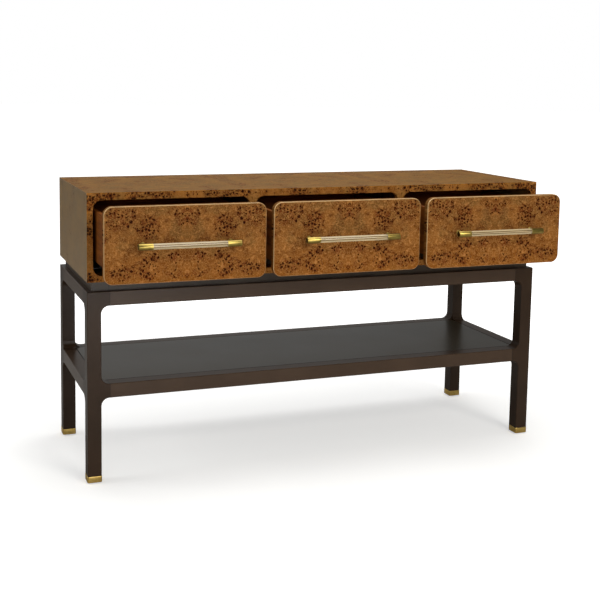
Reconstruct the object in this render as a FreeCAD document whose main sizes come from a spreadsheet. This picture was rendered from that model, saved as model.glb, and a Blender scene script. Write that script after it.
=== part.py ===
"""A lowboy: a case of three drawers on an open base with a low shelf.

The case is a mitred box of veneered boards whose face frame has three round-cornered openings. It stands on a
recessed plinth, and the plinth on a frame of four square legs. Each leg is cut from the solid with round brackets
where the top rails and the shelf rails meet it, and ends in a brass foot cup. Each drawer is a dovetailed box
behind an inset front, rides on a pair of three-part runners below its floor, and has a pull of clear rod held in
brass sleeves.

X runs along the front from left to right, Y from front to back and Z up. The origin is on the floor, below the
middle of the whole object with its drawers drawn out as they stand here.
"""

import FreeCAD, Part
import math
import os
import Sketcher

doc = FreeCAD.newDocument("lowboy")

# ---------------------------------------------------------------------------------------------------------------
# Driving sizes, in millimetres
# ---------------------------------------------------------------------------------------------------------------

SIZES = {
    # case
    "case_width": 1524,
    "case_depth": 490,
    "case_height": 264,
    "case_board": 18,
    "back_board": 8,
    "back_lap": 9,
    "dado_depth": 5,
    "case_easing": 1,
    # face frame and its openings
    "rail_above": 22,
    "rail_below": 18,
    "stile_width": 18,
    "divider_width": 18,
    "opening_radius": 27,
    # plinth
    "plinth_height": 29,
    "plinth_inset": 16,
    # base
    "base_height": 582,
    "leg_width": 42,
    "edge_bevel": 1.5,
    "rail_height": 43,
    "bracket_radius": 24,
    "bracket_land": 2,
    "tenon_thickness": 12,
    "tenon_length": 30,
    "tenon_shoulder": 8,
    "tenon_glue_room": 1,
    "shelf_height": 303.5,
    "shelf_board": 18,
    "shelf_lap": 10,
    "shelf_groove": 2.5,
    "shelf_play": 0.3,
    "block_side": 60,
    "block_drop": 30,
    # feet
    "glide_height": 4,
    "glide_radius": 12,
    "cup_height": 19,
    "cup_wall": 2.5,
    "cup_floor": 2,
    "cup_proud": 1,
    "cup_corner": 3,
    # drawers
    "front_board": 20,
    "front_gap": 1.5,
    "front_bevel": 2,
    "box_board": 12.5,
    "box_height": 148,
    "box_length": 430,
    "box_side_gap": 10,
    "box_drop": 32,
    "box_floor": 8,
    "box_floor_lift": 13,
    "box_floor_lap": 6,
    "tail_slope": 4,
    "opened_left": 150,
    "opened_middle": 156,
    "opened_right": 162,
    # runners
    "runner_length": 420,
    "runner_setback": 4,
    "runner_steel": 1.5,
    "runner_play": 0.5,
    "runner_width": 26,
    "runner_rise": 36,
    "runner_wall": 14,
    "runner_flange": 20,
    "slider_length": 400,
    "slider_wall": 22,
    "slider_setback": 8,
    # pulls
    "pull_length": 302,
    "pull_reach": 36,
    "sleeve_length": 42,
    "sleeve_radius": 9.5,
    "sleeve_cap": 6,
    "sleeve_edge": 0.8,
    "rod_radius": 8.75,
    "rod_play": 0.15,
    "post_radius": 5.5,
    "post_play": 0.15,
    "rosette_radius": 8,
    "rosette_thickness": 3,
}

# What follows from the driving sizes.
PLACES = {
    "left": "-sizes.case_width / 2",
    "right": "sizes.case_width / 2",
    "widest_opened": "max(sizes.opened_left; sizes.opened_middle; sizes.opened_right)",
    "reach": "widest_opened + sizes.pull_reach + sizes.sleeve_radius",
    "front": "(reach - sizes.case_depth) / 2",
    "back": "front + sizes.case_depth",
    "case_bottom": "sizes.base_height + sizes.plinth_height",
    "case_top": "case_bottom + sizes.case_height",
    "bay_width": "(sizes.case_width - 2 * sizes.stile_width - 2 * sizes.divider_width) / 3",
    "bay_pitch": "bay_width + sizes.divider_width",
    "opening_bottom": "case_bottom + sizes.rail_below",
    "opening_height": "sizes.case_height - sizes.rail_above - sizes.rail_below",
    "bracket": "sizes.bracket_radius + sizes.bracket_land",
    "rail_start": "sizes.leg_width + bracket",
    "rail_bottom": "sizes.base_height - sizes.rail_height",
    "shelf_rail_bottom": "sizes.shelf_height - sizes.rail_height",
    "cup_bottom": "sizes.glide_height",
    "leg_bottom": "cup_bottom + sizes.cup_height",
    "front_width": "bay_width - 2 * sizes.front_gap",
    "front_height": "opening_height - 2 * sizes.front_gap",
    "front_bottom": "opening_bottom + sizes.front_gap",
    "box_width": "bay_width - 2 * sizes.box_side_gap",
    "box_bottom": "front_bottom + front_height - sizes.box_drop - sizes.box_height",
    "box_floor_bottom": "box_bottom + sizes.box_floor_lift",
    "runner_bottom": "box_floor_bottom - sizes.runner_rise",
    "runner_offset": "sizes.box_side_gap + sizes.box_board + sizes.runner_steel",
    "post_inset": "sizes.sleeve_length / 2",
    "pull_height": "front_bottom + front_height / 2",
}


def fill_sheet(name, cells):
    """A sheet with one named cell a row: its word in column A and its number or formula in column B."""
    sheet = doc.addObject("Spreadsheet::Sheet", name)
    for row, (word, content) in enumerate(cells.items(), 1):
        sheet.set(f"A{row}", word)
        sheet.set(f"B{row}", str(content))
        sheet.setAlias(f"B{row}", word)
    doc.recompute()
    return sheet


sizes = fill_sheet("sizes", SIZES)
places = fill_sheet("places", {word: "=" + formula for word, formula in PLACES.items()})

NODES = []


# ---------------------------------------------------------------------------------------------------------------
# Helpers
# ---------------------------------------------------------------------------------------------------------------


def value(expression):
    """The number that an expression on the two sheets stands for now."""
    return float(SCALE.evalExpression(str(expression)))


SCALE = doc.addObject("App::FeaturePython", "expression_reader")


def bind(thing, **expressions):
    """Binds properties to expressions: a double underscore in a name stands for a dot."""
    for name, expression in expressions.items():
        thing.setExpression(name.replace("__", "."), str(expression))


def place(thing, x="0", y="0", z="0", turn=0, about=(0, 0, 1)):
    """Puts a thing at x, y, z after turning it about an axis through its own origin."""
    rotation = FreeCAD.Rotation(FreeCAD.Vector(*about), turn)
    thing.Placement = FreeCAD.Placement(FreeCAD.Vector(), rotation)
    bind(thing, Placement__Base__x=x, Placement__Base__y=y, Placement__Base__z=z)
    return thing


def node(thing, name):
    """Names a finished sub-part, which is written to a file of that name."""
    thing.Label = name
    NODES.append(thing)
    return thing


def box(name, length, width, height, x="0", y="0", z="0"):
    """A plain board, from its low corner."""
    made = doc.addObject("Part::Box", name)
    bind(made, Length=length, Width=width, Height=height)
    return place(made, x, y, z)


def rod(name, radius, length, x, y, z, turn=0, about=(0, 0, 1)):
    """A cylinder along its own Z before it is turned."""
    made = doc.addObject("Part::Cylinder", name)
    bind(made, Radius=radius, Height=length)
    return place(made, x, y, z, turn, about)


def group(name, things):
    """Several separate solids held as one thing."""
    made = doc.addObject("Part::Compound", name)
    made.Links = things
    return made


def cut(name, base, tools):
    """The base less the room that each tool takes."""
    made = doc.addObject("Part::Cut", name)
    made.Base = base
    made.Tool = tools[0] if len(tools) == 1 else group(name + "_tools", tools)
    return made


def new_body(name):
    return doc.addObject("PartDesign::Body", name)


def new_sketch(body, name, plane, offset="0"):
    """A sketch on one of the body's own planes, moved along that plane's normal by offset."""
    made = body.newObject("Sketcher::SketchObject", name)
    face = next(feature for feature in body.Origin.OriginFeatures if feature.Role == plane)
    made.AttachmentSupport = [(face, "")]
    made.MapMode = "FlatFace"
    bind(made, AttachmentOffset__Base__z=offset)
    return made


def fix(sketch, kind, edge, point, expression):
    """Holds one point of an edge at a distance from the sketch's origin."""
    number = sketch.addConstraint(Sketcher.Constraint(kind, -1, 1, edge, point, value(expression)))
    sketch.renameConstraint(number, f"{kind}_{edge}_{point}")
    sketch.setExpression(f"Constraints.{kind}_{edge}_{point}", str(expression))


def draw_polygon(sketch, corners):
    """A closed outline through corners given as pairs of expressions."""
    points = [FreeCAD.Vector(value(x), value(y)) for x, y in corners]
    edges = [
        sketch.addGeometry(Part.LineSegment(start, end))
        for start, end in zip(points, points[1:] + points[:1])
    ]
    for edge, following, (x, y) in zip(edges, edges[1:] + edges[:1], corners):
        sketch.addConstraint(Sketcher.Constraint("Coincident", edge, 2, following, 1))
        fix(sketch, "DistanceX", edge, 1, x)
        fix(sketch, "DistanceY", edge, 1, y)


def draw_outline(sketch, corners):
    """A closed outline of level and upright edges. Each corner is (x, y) or, where it is round, (x, y, radius)."""
    count = len(corners)
    points = [FreeCAD.Vector(value(corner[0]), value(corner[1])) for corner in corners]
    radii = [value(corner[2]) if len(corner) == 3 else 0 for corner in corners]
    steps = [(points[(i + 1) % count] - points[i]).normalize() for i in range(count)]
    edges = []
    for i in range(count):
        start = points[i] + steps[i] * radii[i]
        end = points[(i + 1) % count] - steps[i] * radii[(i + 1) % count]
        edge = sketch.addGeometry(Part.LineSegment(start, end))
        level = abs(steps[i].x) > abs(steps[i].y)
        sketch.addConstraint(Sketcher.Constraint("Horizontal" if level else "Vertical", edge))
        fix(sketch, "DistanceY" if level else "DistanceX", edge, 1, corners[i][1 if level else 0])
        edges.append(edge)
    for i in range(count):
        if radii[i] == 0:
            sketch.addConstraint(Sketcher.Constraint("Coincident", edges[i - 1], 2, edges[i], 1))
            continue
        entry = points[i] - steps[i - 1] * radii[i]
        centre = entry + steps[i] * radii[i]
        turns_left = steps[i - 1].cross(steps[i]).z > 0
        towards = entry - centre if turns_left else steps[i - 1] * radii[i]
        angle = math.atan2(towards.y, towards.x)
        circle = Part.Circle(centre, FreeCAD.Vector(0, 0, 1), radii[i])
        arc = sketch.addGeometry(Part.ArcOfCircle(circle, angle, angle + math.pi / 2))
        first, last = (1, 2) if turns_left else (2, 1)
        sketch.addConstraint(Sketcher.Constraint("Tangent", edges[i - 1], 2, arc, first))
        sketch.addConstraint(Sketcher.Constraint("Tangent", arc, last, edges[i], 1))
        number = sketch.addConstraint(Sketcher.Constraint("Radius", arc, radii[i]))
        sketch.renameConstraint(number, f"radius_{i}")
        sketch.setExpression(f"Constraints.radius_{i}", corners[i][2])


def draw_circle(sketch, x, y, radius):
    circle = sketch.addGeometry(Part.Circle(FreeCAD.Vector(value(x), value(y)), FreeCAD.Vector(0, 0, 1), value(radius)))
    fix(sketch, "DistanceX", circle, 3, x)
    fix(sketch, "DistanceY", circle, 3, y)
    number = sketch.addConstraint(Sketcher.Constraint("Radius", circle, value(radius)))
    sketch.renameConstraint(number, f"radius_{circle}")
    sketch.setExpression(f"Constraints.radius_{circle}", str(radius))


def pad(body, sketch, length):
    """Thickens a sketch towards +X, +Y or +Z, whichever its plane faces."""
    made = body.newObject("PartDesign::Pad", sketch.Name + "_pad")
    made.Profile = sketch
    made.Reversed = sketch.AttachmentSupport[0][0].Role == "XZ_Plane"
    bind(made, Length=length)
    doc.recompute()
    return made


def pocket(body, sketch, depth):
    """Cuts a sketch into the body towards +X, +Y or +Z, whichever its plane faces."""
    made = body.newObject("PartDesign::Pocket", sketch.Name + "_pocket")
    made.Profile = sketch
    made.Reversed = sketch.AttachmentSupport[0][0].Role != "XZ_Plane"
    before = body.Shape.Volume
    bind(made, Length=depth)
    doc.recompute()
    if body.Shape.Volume > before - 1:
        raise RuntimeError(f"{made.Name} cuts nothing")
    return made


def revolve(body, sketch, axis):
    made = body.newObject("PartDesign::Revolution", sketch.Name + "_turned")
    made.Profile = sketch
    made.ReferenceAxis = (sketch, [axis])
    made.Angle = 360
    doc.recompute()
    return made


def edges_where(shape, test):
    """The names of a shape's edges whose bounding boxes pass a test."""
    return [f"Edge{i}" for i, edge in enumerate(shape.Edges, 1) if test(edge.BoundBox)]


def near(a, b):
    return abs(a - b) < 1e-4


def bevel_edges(body, names, size):
    base = body.Tip
    made = body.newObject("PartDesign::Chamfer", body.Name + "_bevel")
    made.Base = (base, names)
    bind(made, Size=size)
    doc.recompute()
    return made


# ---------------------------------------------------------------------------------------------------------------
# Case: four mitred boards, a face frame, two partitions and a back
# ---------------------------------------------------------------------------------------------------------------


def mitred_board(name, outer_x, outer_z, inner_x, inner_z, thickness):
    """A board with bevelled edges: its outer face lies at Y = 0 and its smaller inner face at Y = thickness."""
    made = doc.addObject("Part::Wedge", name)
    bind(made, Xmin=outer_x[0], Xmax=outer_x[1], Zmin=outer_z[0], Zmax=outer_z[1])
    bind(made, X2min=inner_x[0], X2max=inner_x[1], Z2min=inner_z[0], Z2max=inner_z[1])
    bind(made, Ymin="0", Ymax=thickness)
    return made


def eased(name, board):
    """A board of the case less what lies outside the case's own softened edges."""
    made = doc.addObject("Part::Common", name)
    made.Base = board
    made.Tool = case_form
    return made


BOARD = "sizes.case_board"
WIDTH = "sizes.case_width"
DEPTH = "sizes.case_depth"
HEIGHT = "sizes.case_height"

case_form = new_body("case_form")
footprint = new_sketch(case_form, "footprint", "XY_Plane")
draw_outline(footprint, [("0", "0"), (WIDTH, "0"), (WIDTH, DEPTH), ("0", DEPTH)])
pad(case_form, footprint, HEIGHT)
bevel_edges(case_form, edges_where(case_form.Shape, lambda bounds: True), "sizes.case_easing")
place(case_form, "places.left", "places.front", "places.case_bottom")

back_space = box(
    "back_space",
    f"{WIDTH} - 2 * ({BOARD} - sizes.back_lap)",
    "sizes.back_board",
    f"{HEIGHT} - 2 * ({BOARD} - sizes.back_lap)",
    f"places.left + {BOARD} - sizes.back_lap",
    "places.back - sizes.back_board",
    f"places.case_bottom + {BOARD} - sizes.back_lap",
)

partitions = []
for side, sign in (("left", "-"), ("right", "")):
    partition = box(
        f"partition_{side}",
        "sizes.divider_width",
        f"{DEPTH} - {BOARD} - sizes.back_board",
        f"{HEIGHT} - 2 * {BOARD} + 2 * sizes.dado_depth",
        f"{sign}places.bay_pitch / 2 - sizes.divider_width / 2",
        f"places.front + {BOARD}",
        f"places.case_bottom + {BOARD} - sizes.dado_depth",
    )
    partitions.append(node(partition, f"case_partition_{side}"))

CORNERS = [
    ("front_left", "places.left", "places.front", "", ""),
    ("front_right", "places.right", "places.front", "-", ""),
    ("back_right", "places.right", "places.back", "-", "-"),
    ("back_left", "places.left", "places.back", "", "-"),
]
BLOCK_BOTTOM = "(sizes.base_height - sizes.block_drop)"
BLOCK_HEIGHT = "(places.case_bottom - sizes.base_height + sizes.block_drop)"


def at_corner(corner, inward_x, inward_y):
    """The place that lies inward of an outer corner of the base by two distances."""
    _, x, y, sign_x, sign_y = corner
    return f"{x} + 1 * ({sign_x}({inward_x}))", f"{y} + 1 * ({sign_y}({inward_y}))"


top = mitred_board(
    "top_blank",
    ("0", WIDTH),
    ("0", DEPTH),
    (BOARD, f"{WIDTH} - {BOARD}"),
    (BOARD, DEPTH),
    BOARD,
)
place(top, "places.left", "places.front", "places.case_top", -90, (1, 0, 0))
node(eased("top", cut("cut_top", top, [back_space, *partitions])), "case_top")

bottom = mitred_board(
    "bottom_blank",
    ("0", WIDTH),
    (f"-{DEPTH}", "0"),
    (BOARD, f"{WIDTH} - {BOARD}"),
    (f"-{DEPTH}", f"-{BOARD}"),
    BOARD,
)
place(bottom, "places.left", "places.front", "places.case_bottom", 90, (1, 0, 0))
node(eased("bottom", cut("cut_bottom", bottom, [back_space, *partitions])), "case_bottom")

side = mitred_board(
    "left_side_blank",
    (f"-{DEPTH}", "0"),
    ("0", HEIGHT),
    (f"-{DEPTH}", f"-{BOARD}"),
    (BOARD, f"{HEIGHT} - {BOARD}"),
    BOARD,
)
place(side, "places.left", "places.front", "places.case_bottom", -90)
node(eased("left_side", cut("cut_left_side", side, [back_space])), "case_side_left")

side = mitred_board(
    "right_side_blank",
    ("0", DEPTH),
    ("0", HEIGHT),
    (BOARD, DEPTH),
    (BOARD, f"{HEIGHT} - {BOARD}"),
    BOARD,
)
place(side, "places.right", "places.front", "places.case_bottom", 90)
node(eased("right_side", cut("cut_right_side", side, [back_space])), "case_side_right")

back = box(
    "back_panel",
    f"{WIDTH} - 2 * ({BOARD} - sizes.back_lap)",
    "sizes.back_board",
    f"{HEIGHT} - 2 * ({BOARD} - sizes.back_lap)",
    f"places.left + {BOARD} - sizes.back_lap",
    "places.back - sizes.back_board",
    f"places.case_bottom + {BOARD} - sizes.back_lap",
)
node(back, "case_back")

# Three round-cornered openings are cut through the face frame, one for each bay.
frame_blank = mitred_board(
    "frame_blank",
    ("0", WIDTH),
    ("0", HEIGHT),
    (BOARD, f"{WIDTH} - {BOARD}"),
    (BOARD, f"{HEIGHT} - {BOARD}"),
    BOARD,
)
place(frame_blank, "places.left", "places.front", "places.case_bottom")

opening = new_body("opening")
outline = new_sketch(opening, "opening_outline", "XZ_Plane")
draw_outline(
    outline,
    [
        ("-places.bay_width / 2", "0", "sizes.opening_radius"),
        ("places.bay_width / 2", "0", "sizes.opening_radius"),
        ("places.bay_width / 2", "places.opening_height", "sizes.opening_radius"),
        ("-places.bay_width / 2", "places.opening_height", "sizes.opening_radius"),
    ],
)
pad(opening, outline, BOARD)
place(opening, "-places.bay_pitch", "places.front", "places.opening_bottom")

middle_opening = doc.addObject("App::Link", "middle_opening")
middle_opening.LinkedObject = opening
place(middle_opening, "0", "places.front", "places.opening_bottom")
right_opening = doc.addObject("App::Link", "right_opening")
right_opening.LinkedObject = opening
place(right_opening, "places.bay_pitch", "places.front", "places.opening_bottom")
frame_cut = cut("frame_cut", frame_blank, [opening, middle_opening, right_opening])
node(eased("frame", frame_cut), "face_frame")


# ---------------------------------------------------------------------------------------------------------------
# Base: legs with brackets, rails with tenons, shelf, plinth and feet
# ---------------------------------------------------------------------------------------------------------------

LEG = "sizes.leg_width"
RAIL_HEIGHT = "sizes.rail_height"
TENON_LOW = f"({LEG} - sizes.tenon_thickness) / 2"
TENON_HEIGHT = f"({RAIL_HEIGHT} - 2 * sizes.tenon_shoulder)"
MORTISE_DEPTH = "(sizes.tenon_length + sizes.tenon_glue_room)"
FOOT_INSET = "(sizes.cup_wall - sizes.cup_proud)"


def leg_profile(sketch):
    """One face of a leg: the post, and its brackets below the top rail and on both sides of the shelf rail."""
    end = "places.rail_start"
    radius = "sizes.bracket_radius"
    draw_outline(
        sketch,
        [
            ("0", "places.leg_bottom"),
            (LEG, "places.leg_bottom"),
            (LEG, "places.shelf_rail_bottom", radius),
            (end, "places.shelf_rail_bottom"),
            (end, "sizes.shelf_height"),
            (LEG, "sizes.shelf_height", radius),
            (LEG, "places.rail_bottom", radius),
            (end, "places.rail_bottom"),
            (end, "sizes.base_height"),
            ("0", "sizes.base_height"),
        ],
    )


def make_leg(name):
    """A leg with its outer corner at the origin and its brackets towards +X and +Y."""
    body = new_body(name)
    for word, plane in (("x", "XZ_Plane"), ("y", "YZ_Plane")):
        profile = new_sketch(body, f"{name}_profile_{word}", plane)
        leg_profile(profile)
        pad(body, profile, LEG)
    foot = new_sketch(body, f"{name}_foot", "XY_Plane", "places.cup_bottom + sizes.cup_floor")
    far = f"{LEG} - {FOOT_INSET}"
    draw_outline(foot, [(FOOT_INSET, FOOT_INSET), (far, FOOT_INSET), (far, far), (FOOT_INSET, far)])
    pad(body, foot, "places.leg_bottom - places.cup_bottom - sizes.cup_floor")
    for low in ("places.shelf_rail_bottom", "places.rail_bottom"):
        level = low.split(".")[1]
        for word, plane in (("x", "YZ_Plane"), ("y", "XZ_Plane")):
            mortise = new_sketch(
                body,
                f"{name}_{level}_{word}",
                plane,
                f"{'-' if plane == 'XZ_Plane' else ''}1 * (places.rail_start - {MORTISE_DEPTH})",
            )
            bottom = f"{low} + sizes.tenon_shoulder"
            draw_outline(
                mortise,
                [
                    (TENON_LOW, bottom),
                    (f"{TENON_LOW} + sizes.tenon_thickness", bottom),
                    (f"{TENON_LOW} + sizes.tenon_thickness", f"{bottom} + {TENON_HEIGHT}"),
                    (TENON_LOW, f"{bottom} + {TENON_HEIGHT}"),
                ],
            )
            pocket(body, mortise, MORTISE_DEPTH)
    foot_top = value("places.leg_bottom")
    end = value("places.rail_start")

    def outside_edge(bounds):
        on_face = near(bounds.YMax, 0) and not near(bounds.XMin, end)
        on_side = near(bounds.XMax, 0) and not near(bounds.YMin, end)
        return bounds.ZMax > foot_top + 1e-4 and (on_face or on_side)

    bevel_edges(body, edges_where(body.Shape, outside_edge), "sizes.edge_bevel")
    return body


def make_rail(name, length, carries_shelf):
    """A rail along +X with its outer face at Y = 0 and a tenon at each end. A shelf rail has a ledge inside."""
    body = new_body(name)
    section = new_sketch(body, f"{name}_section", "YZ_Plane")
    corners = [("0", "0"), (LEG, "0")]
    if carries_shelf:
        ledge = f"{RAIL_HEIGHT} - sizes.shelf_board"
        inner = f"{LEG} + sizes.shelf_lap"
        corners = [("0", "0"), (inner, "0"), (inner, ledge), (LEG, ledge), (LEG, RAIL_HEIGHT)]
    else:
        corners += [(LEG, RAIL_HEIGHT)]
    draw_outline(section, corners + [("0", RAIL_HEIGHT)])
    pad(body, section, length)
    along = value(length)
    tall = value(RAIL_HEIGHT)

    def outside_edge(bounds):
        return bounds.XLength > along - 1e-3 and near(bounds.YMax, 0)

    bevel_edges(body, edges_where(body.Shape, outside_edge), "sizes.edge_bevel")
    tenon = new_sketch(body, f"{name}_tenon", "YZ_Plane", "-sizes.tenon_length")
    draw_outline(
        tenon,
        [
            (TENON_LOW, "sizes.tenon_shoulder"),
            (f"{TENON_LOW} + sizes.tenon_thickness", "sizes.tenon_shoulder"),
            (f"{TENON_LOW} + sizes.tenon_thickness", f"{RAIL_HEIGHT} - sizes.tenon_shoulder"),
            (TENON_LOW, f"{RAIL_HEIGHT} - sizes.tenon_shoulder"),
        ],
    )
    pad(body, tenon, f"{length} + 2 * sizes.tenon_length")
    return body


RAILS = [
    ("front", f"({WIDTH} - 2 * places.rail_start)"),
    ("right", f"({DEPTH} - 2 * places.rail_start)"),
    ("back", f"({WIDTH} - 2 * places.rail_start)"),
    ("left", f"({DEPTH} - 2 * places.rail_start)"),
]
RAIL_STARTS = [
    ("places.left + places.rail_start", "places.front"),
    ("places.right", "places.front + places.rail_start"),
    ("places.right - places.rail_start", "places.back"),
    ("places.left", "places.back - places.rail_start"),
]

for turn, (corner, (rail_name, length), start) in enumerate(zip(CORNERS, RAILS, RAIL_STARTS)):
    leg = make_leg(f"leg_{corner[0]}")
    node(place(leg, corner[1], corner[2], "0", 90 * turn), f"leg_{corner[0]}")
    top_rail = make_rail(f"top_rail_{rail_name}", length, False)
    node(place(top_rail, *start, "places.rail_bottom", 90 * turn), f"top_rail_{rail_name}")
    shelf_rail = make_rail(f"shelf_rail_{rail_name}", length, True)
    node(place(shelf_rail, *start, "places.shelf_rail_bottom", 90 * turn), f"shelf_rail_{rail_name}")

# The shelf lies on the ledges of its rails, level with their tops, and fits between the inner faces of the legs.
shelf = new_body("shelf")
shelf_outline = new_sketch(shelf, "shelf_outline", "XY_Plane")
INNER = f"{LEG} + sizes.shelf_play"
draw_outline(
    shelf_outline,
    [
        (INNER, INNER),
        (f"{WIDTH} - ({INNER})", INNER),
        (f"{WIDTH} - ({INNER})", f"{DEPTH} - ({INNER})"),
        (INNER, f"{DEPTH} - ({INNER})"),
    ],
)
pad(shelf, shelf_outline, "sizes.shelf_board")
shelf_top = value("sizes.shelf_board")
bevel_edges(shelf, edges_where(shelf.Shape, lambda bounds: near(bounds.ZMin, shelf_top)), "sizes.shelf_groove")
place(shelf, "places.left", "places.front", "sizes.shelf_height - sizes.shelf_board")
node(shelf, "shelf_panel")

# Four mitred plinth boards, inset from the base and flush with the inner faces of its rails.
PLINTH_BOARD = f"({LEG} - sizes.plinth_inset)"
PLINTH_WIDTH = f"({WIDTH} - 2 * sizes.plinth_inset)"
PLINTH_DEPTH = f"({DEPTH} - 2 * sizes.plinth_inset)"
plinth_boards = []
for turn, (corner, run) in enumerate(zip(CORNERS, (PLINTH_WIDTH, PLINTH_DEPTH, PLINTH_WIDTH, PLINTH_DEPTH))):
    board = mitred_board(
        f"plinth_board_{turn}",
        ("0", run),
        ("0", "sizes.plinth_height"),
        (PLINTH_BOARD, f"{run} - {PLINTH_BOARD}"),
        ("0", "sizes.plinth_height"),
        PLINTH_BOARD,
    )
    x, y = at_corner(corner, "sizes.plinth_inset", "sizes.plinth_inset")
    plinth_boards.append(place(board, x, y, "sizes.base_height", 90 * turn))
node(group("plinth", plinth_boards), "plinth_boards")

# Corner blocks tie the rails, the plinth and the case together.
blocks = []
for turn, corner in enumerate(CORNERS):
    block = new_body(f"block_{corner[0]}")
    triangle = new_sketch(block, f"triangle_{corner[0]}", "XY_Plane")
    far = f"{LEG} + sizes.block_side"
    draw_polygon(triangle, [(LEG, LEG), (far, LEG), (LEG, far)])
    pad(block, triangle, BLOCK_HEIGHT)
    blocks.append(place(block, corner[1], corner[2], BLOCK_BOTTOM, 90 * turn))
node(group("blocks", blocks), "corner_blocks")

# Brass cups on the feet, each with a round glide under its floor.
cups = []
glides = []
for turn, corner in enumerate(CORNERS):
    cup = new_body(f"cup_{corner[0]}")
    outer = new_sketch(cup, f"cup_outer_{corner[0]}", "XY_Plane")
    low = "-sizes.cup_proud"
    far = f"{LEG} + sizes.cup_proud"
    round_corner = "sizes.cup_corner"
    draw_outline(
        outer,
        [(low, low, round_corner), (far, low, round_corner), (far, far, round_corner), (low, far, round_corner)],
    )
    pad(cup, outer, "sizes.cup_height")
    inner = new_sketch(cup, f"cup_inner_{corner[0]}", "XY_Plane", "sizes.cup_floor")
    near_side = FOOT_INSET
    far_side = f"{LEG} - {FOOT_INSET}"
    draw_outline(
        inner, [(near_side, near_side), (far_side, near_side), (far_side, far_side), (near_side, far_side)]
    )
    pocket(cup, inner, "sizes.cup_height - sizes.cup_floor")
    cups.append(place(cup, corner[1], corner[2], "places.cup_bottom", 90 * turn))

    glide = new_body(f"glide_{corner[0]}")
    half = new_sketch(glide, f"glide_half_{corner[0]}", "XZ_Plane")
    draw_polygon(
        half,
        [
            ("0", "0"),
            ("sizes.glide_radius", "0"),
            ("sizes.glide_radius", "sizes.glide_height"),
            ("0", "sizes.glide_height"),
        ],
    )
    revolve(glide, half, "V_Axis")
    x, y = at_corner(corner, f"{LEG} / 2", f"{LEG} / 2")
    glides.append(place(glide, x, y, "0"))
node(group("cups", cups), "foot_cups")
node(group("glide_set", glides), "foot_glides")


# ---------------------------------------------------------------------------------------------------------------
# Drawers: front, dovetailed box, runners and pull
# ---------------------------------------------------------------------------------------------------------------

TAILS = 4
BOX_BOARD = "sizes.box_board"
BOX_HEIGHT = "sizes.box_height"
BOX_LENGTH = "sizes.box_length"


def side_outline(sketch):
    """A drawer side with a row of dovetails at each end, level with the faces of the boards that they hold."""
    pitch = f"{BOX_HEIGHT} / {TAILS}"
    corners = []
    for end in (0, 1):
        tails = []
        for i in range(TAILS):
            root_low = f"{pitch} * {i} + {pitch} / 4"
            root_high = f"{pitch} * {i} + {pitch} * 3 / 4"
            tails += [
                (BOX_BOARD, root_low),
                ("0", f"{root_low} - sizes.tail_slope / 2"),
                ("0", f"{root_high} + sizes.tail_slope / 2"),
                (BOX_BOARD, root_high),
            ]
        run = [(BOX_BOARD, "0"), *tails, (BOX_BOARD, BOX_HEIGHT)]
        if end:
            run = [(f"{BOX_LENGTH} - {y}", z) for y, z in reversed(run)]
        corners += run
    draw_polygon(sketch, corners)


RUNNER_STEEL = "sizes.runner_steel"
RUNNER_STEP = "(sizes.runner_steel + sizes.runner_play)"


def channel(name, corners, length, mirrored_side):
    """A folded steel section drawn outward from the wall of the bay, and its length along +Y."""
    body = new_body(name)
    section = new_sketch(body, f"{name}_section", "XZ_Plane")
    sign = "-" if mirrored_side else ""
    draw_polygon(section, [(f"1 * ({sign}({x}))", z) for x, z in corners])
    pad(body, section, length)
    return body


def fixed_section():
    """The runner on the case: a channel open upwards, with a flange against the wall."""
    near_wall = "places.runner_offset"
    far_wall = f"{near_wall} + sizes.runner_width"
    steel = RUNNER_STEEL
    return [
        ("0", "0"),
        (far_wall, "0"),
        (far_wall, "sizes.runner_wall"),
        (f"{far_wall} - {steel}", "sizes.runner_wall"),
        (f"{far_wall} - {steel}", steel),
        (f"{near_wall} + {steel}", steel),
        (f"{near_wall} + {steel}", "sizes.runner_wall"),
        (near_wall, "sizes.runner_wall"),
        (near_wall, steel),
        (steel, steel),
        (steel, "sizes.runner_flange"),
        ("0", "sizes.runner_flange"),
    ]


def slider_section():
    """The middle part: a smaller channel that runs inside the fixed one."""
    near_wall = f"places.runner_offset + {RUNNER_STEP}"
    far_wall = f"places.runner_offset + sizes.runner_width - {RUNNER_STEP}"
    steel = RUNNER_STEEL
    return [
        (near_wall, RUNNER_STEP),
        (far_wall, RUNNER_STEP),
        (far_wall, "sizes.slider_wall"),
        (f"{far_wall} - {steel}", "sizes.slider_wall"),
        (f"{far_wall} - {steel}", f"{RUNNER_STEP} + {steel}"),
        (f"{near_wall} + {steel}", f"{RUNNER_STEP} + {steel}"),
        (f"{near_wall} + {steel}", "sizes.slider_wall"),
        (near_wall, "sizes.slider_wall"),
    ]


def carrier_section():
    """The part under the drawer: a channel open downwards, whose top bears on the drawer's floor."""
    near_wall = f"places.runner_offset + 2 * {RUNNER_STEP}"
    far_wall = f"places.runner_offset + sizes.runner_width - 2 * {RUNNER_STEP}"
    steel = RUNNER_STEEL
    rise = "sizes.runner_rise"
    return [
        (near_wall, f"2 * {RUNNER_STEP}"),
        (f"{near_wall} + {steel}", f"2 * {RUNNER_STEP}"),
        (f"{near_wall} + {steel}", f"{rise} - {steel}"),
        (f"{far_wall} - {steel}", f"{rise} - {steel}"),
        (f"{far_wall} - {steel}", f"2 * {RUNNER_STEP}"),
        (far_wall, f"2 * {RUNNER_STEP}"),
        (far_wall, rise),
        (near_wall, rise),
    ]


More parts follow.
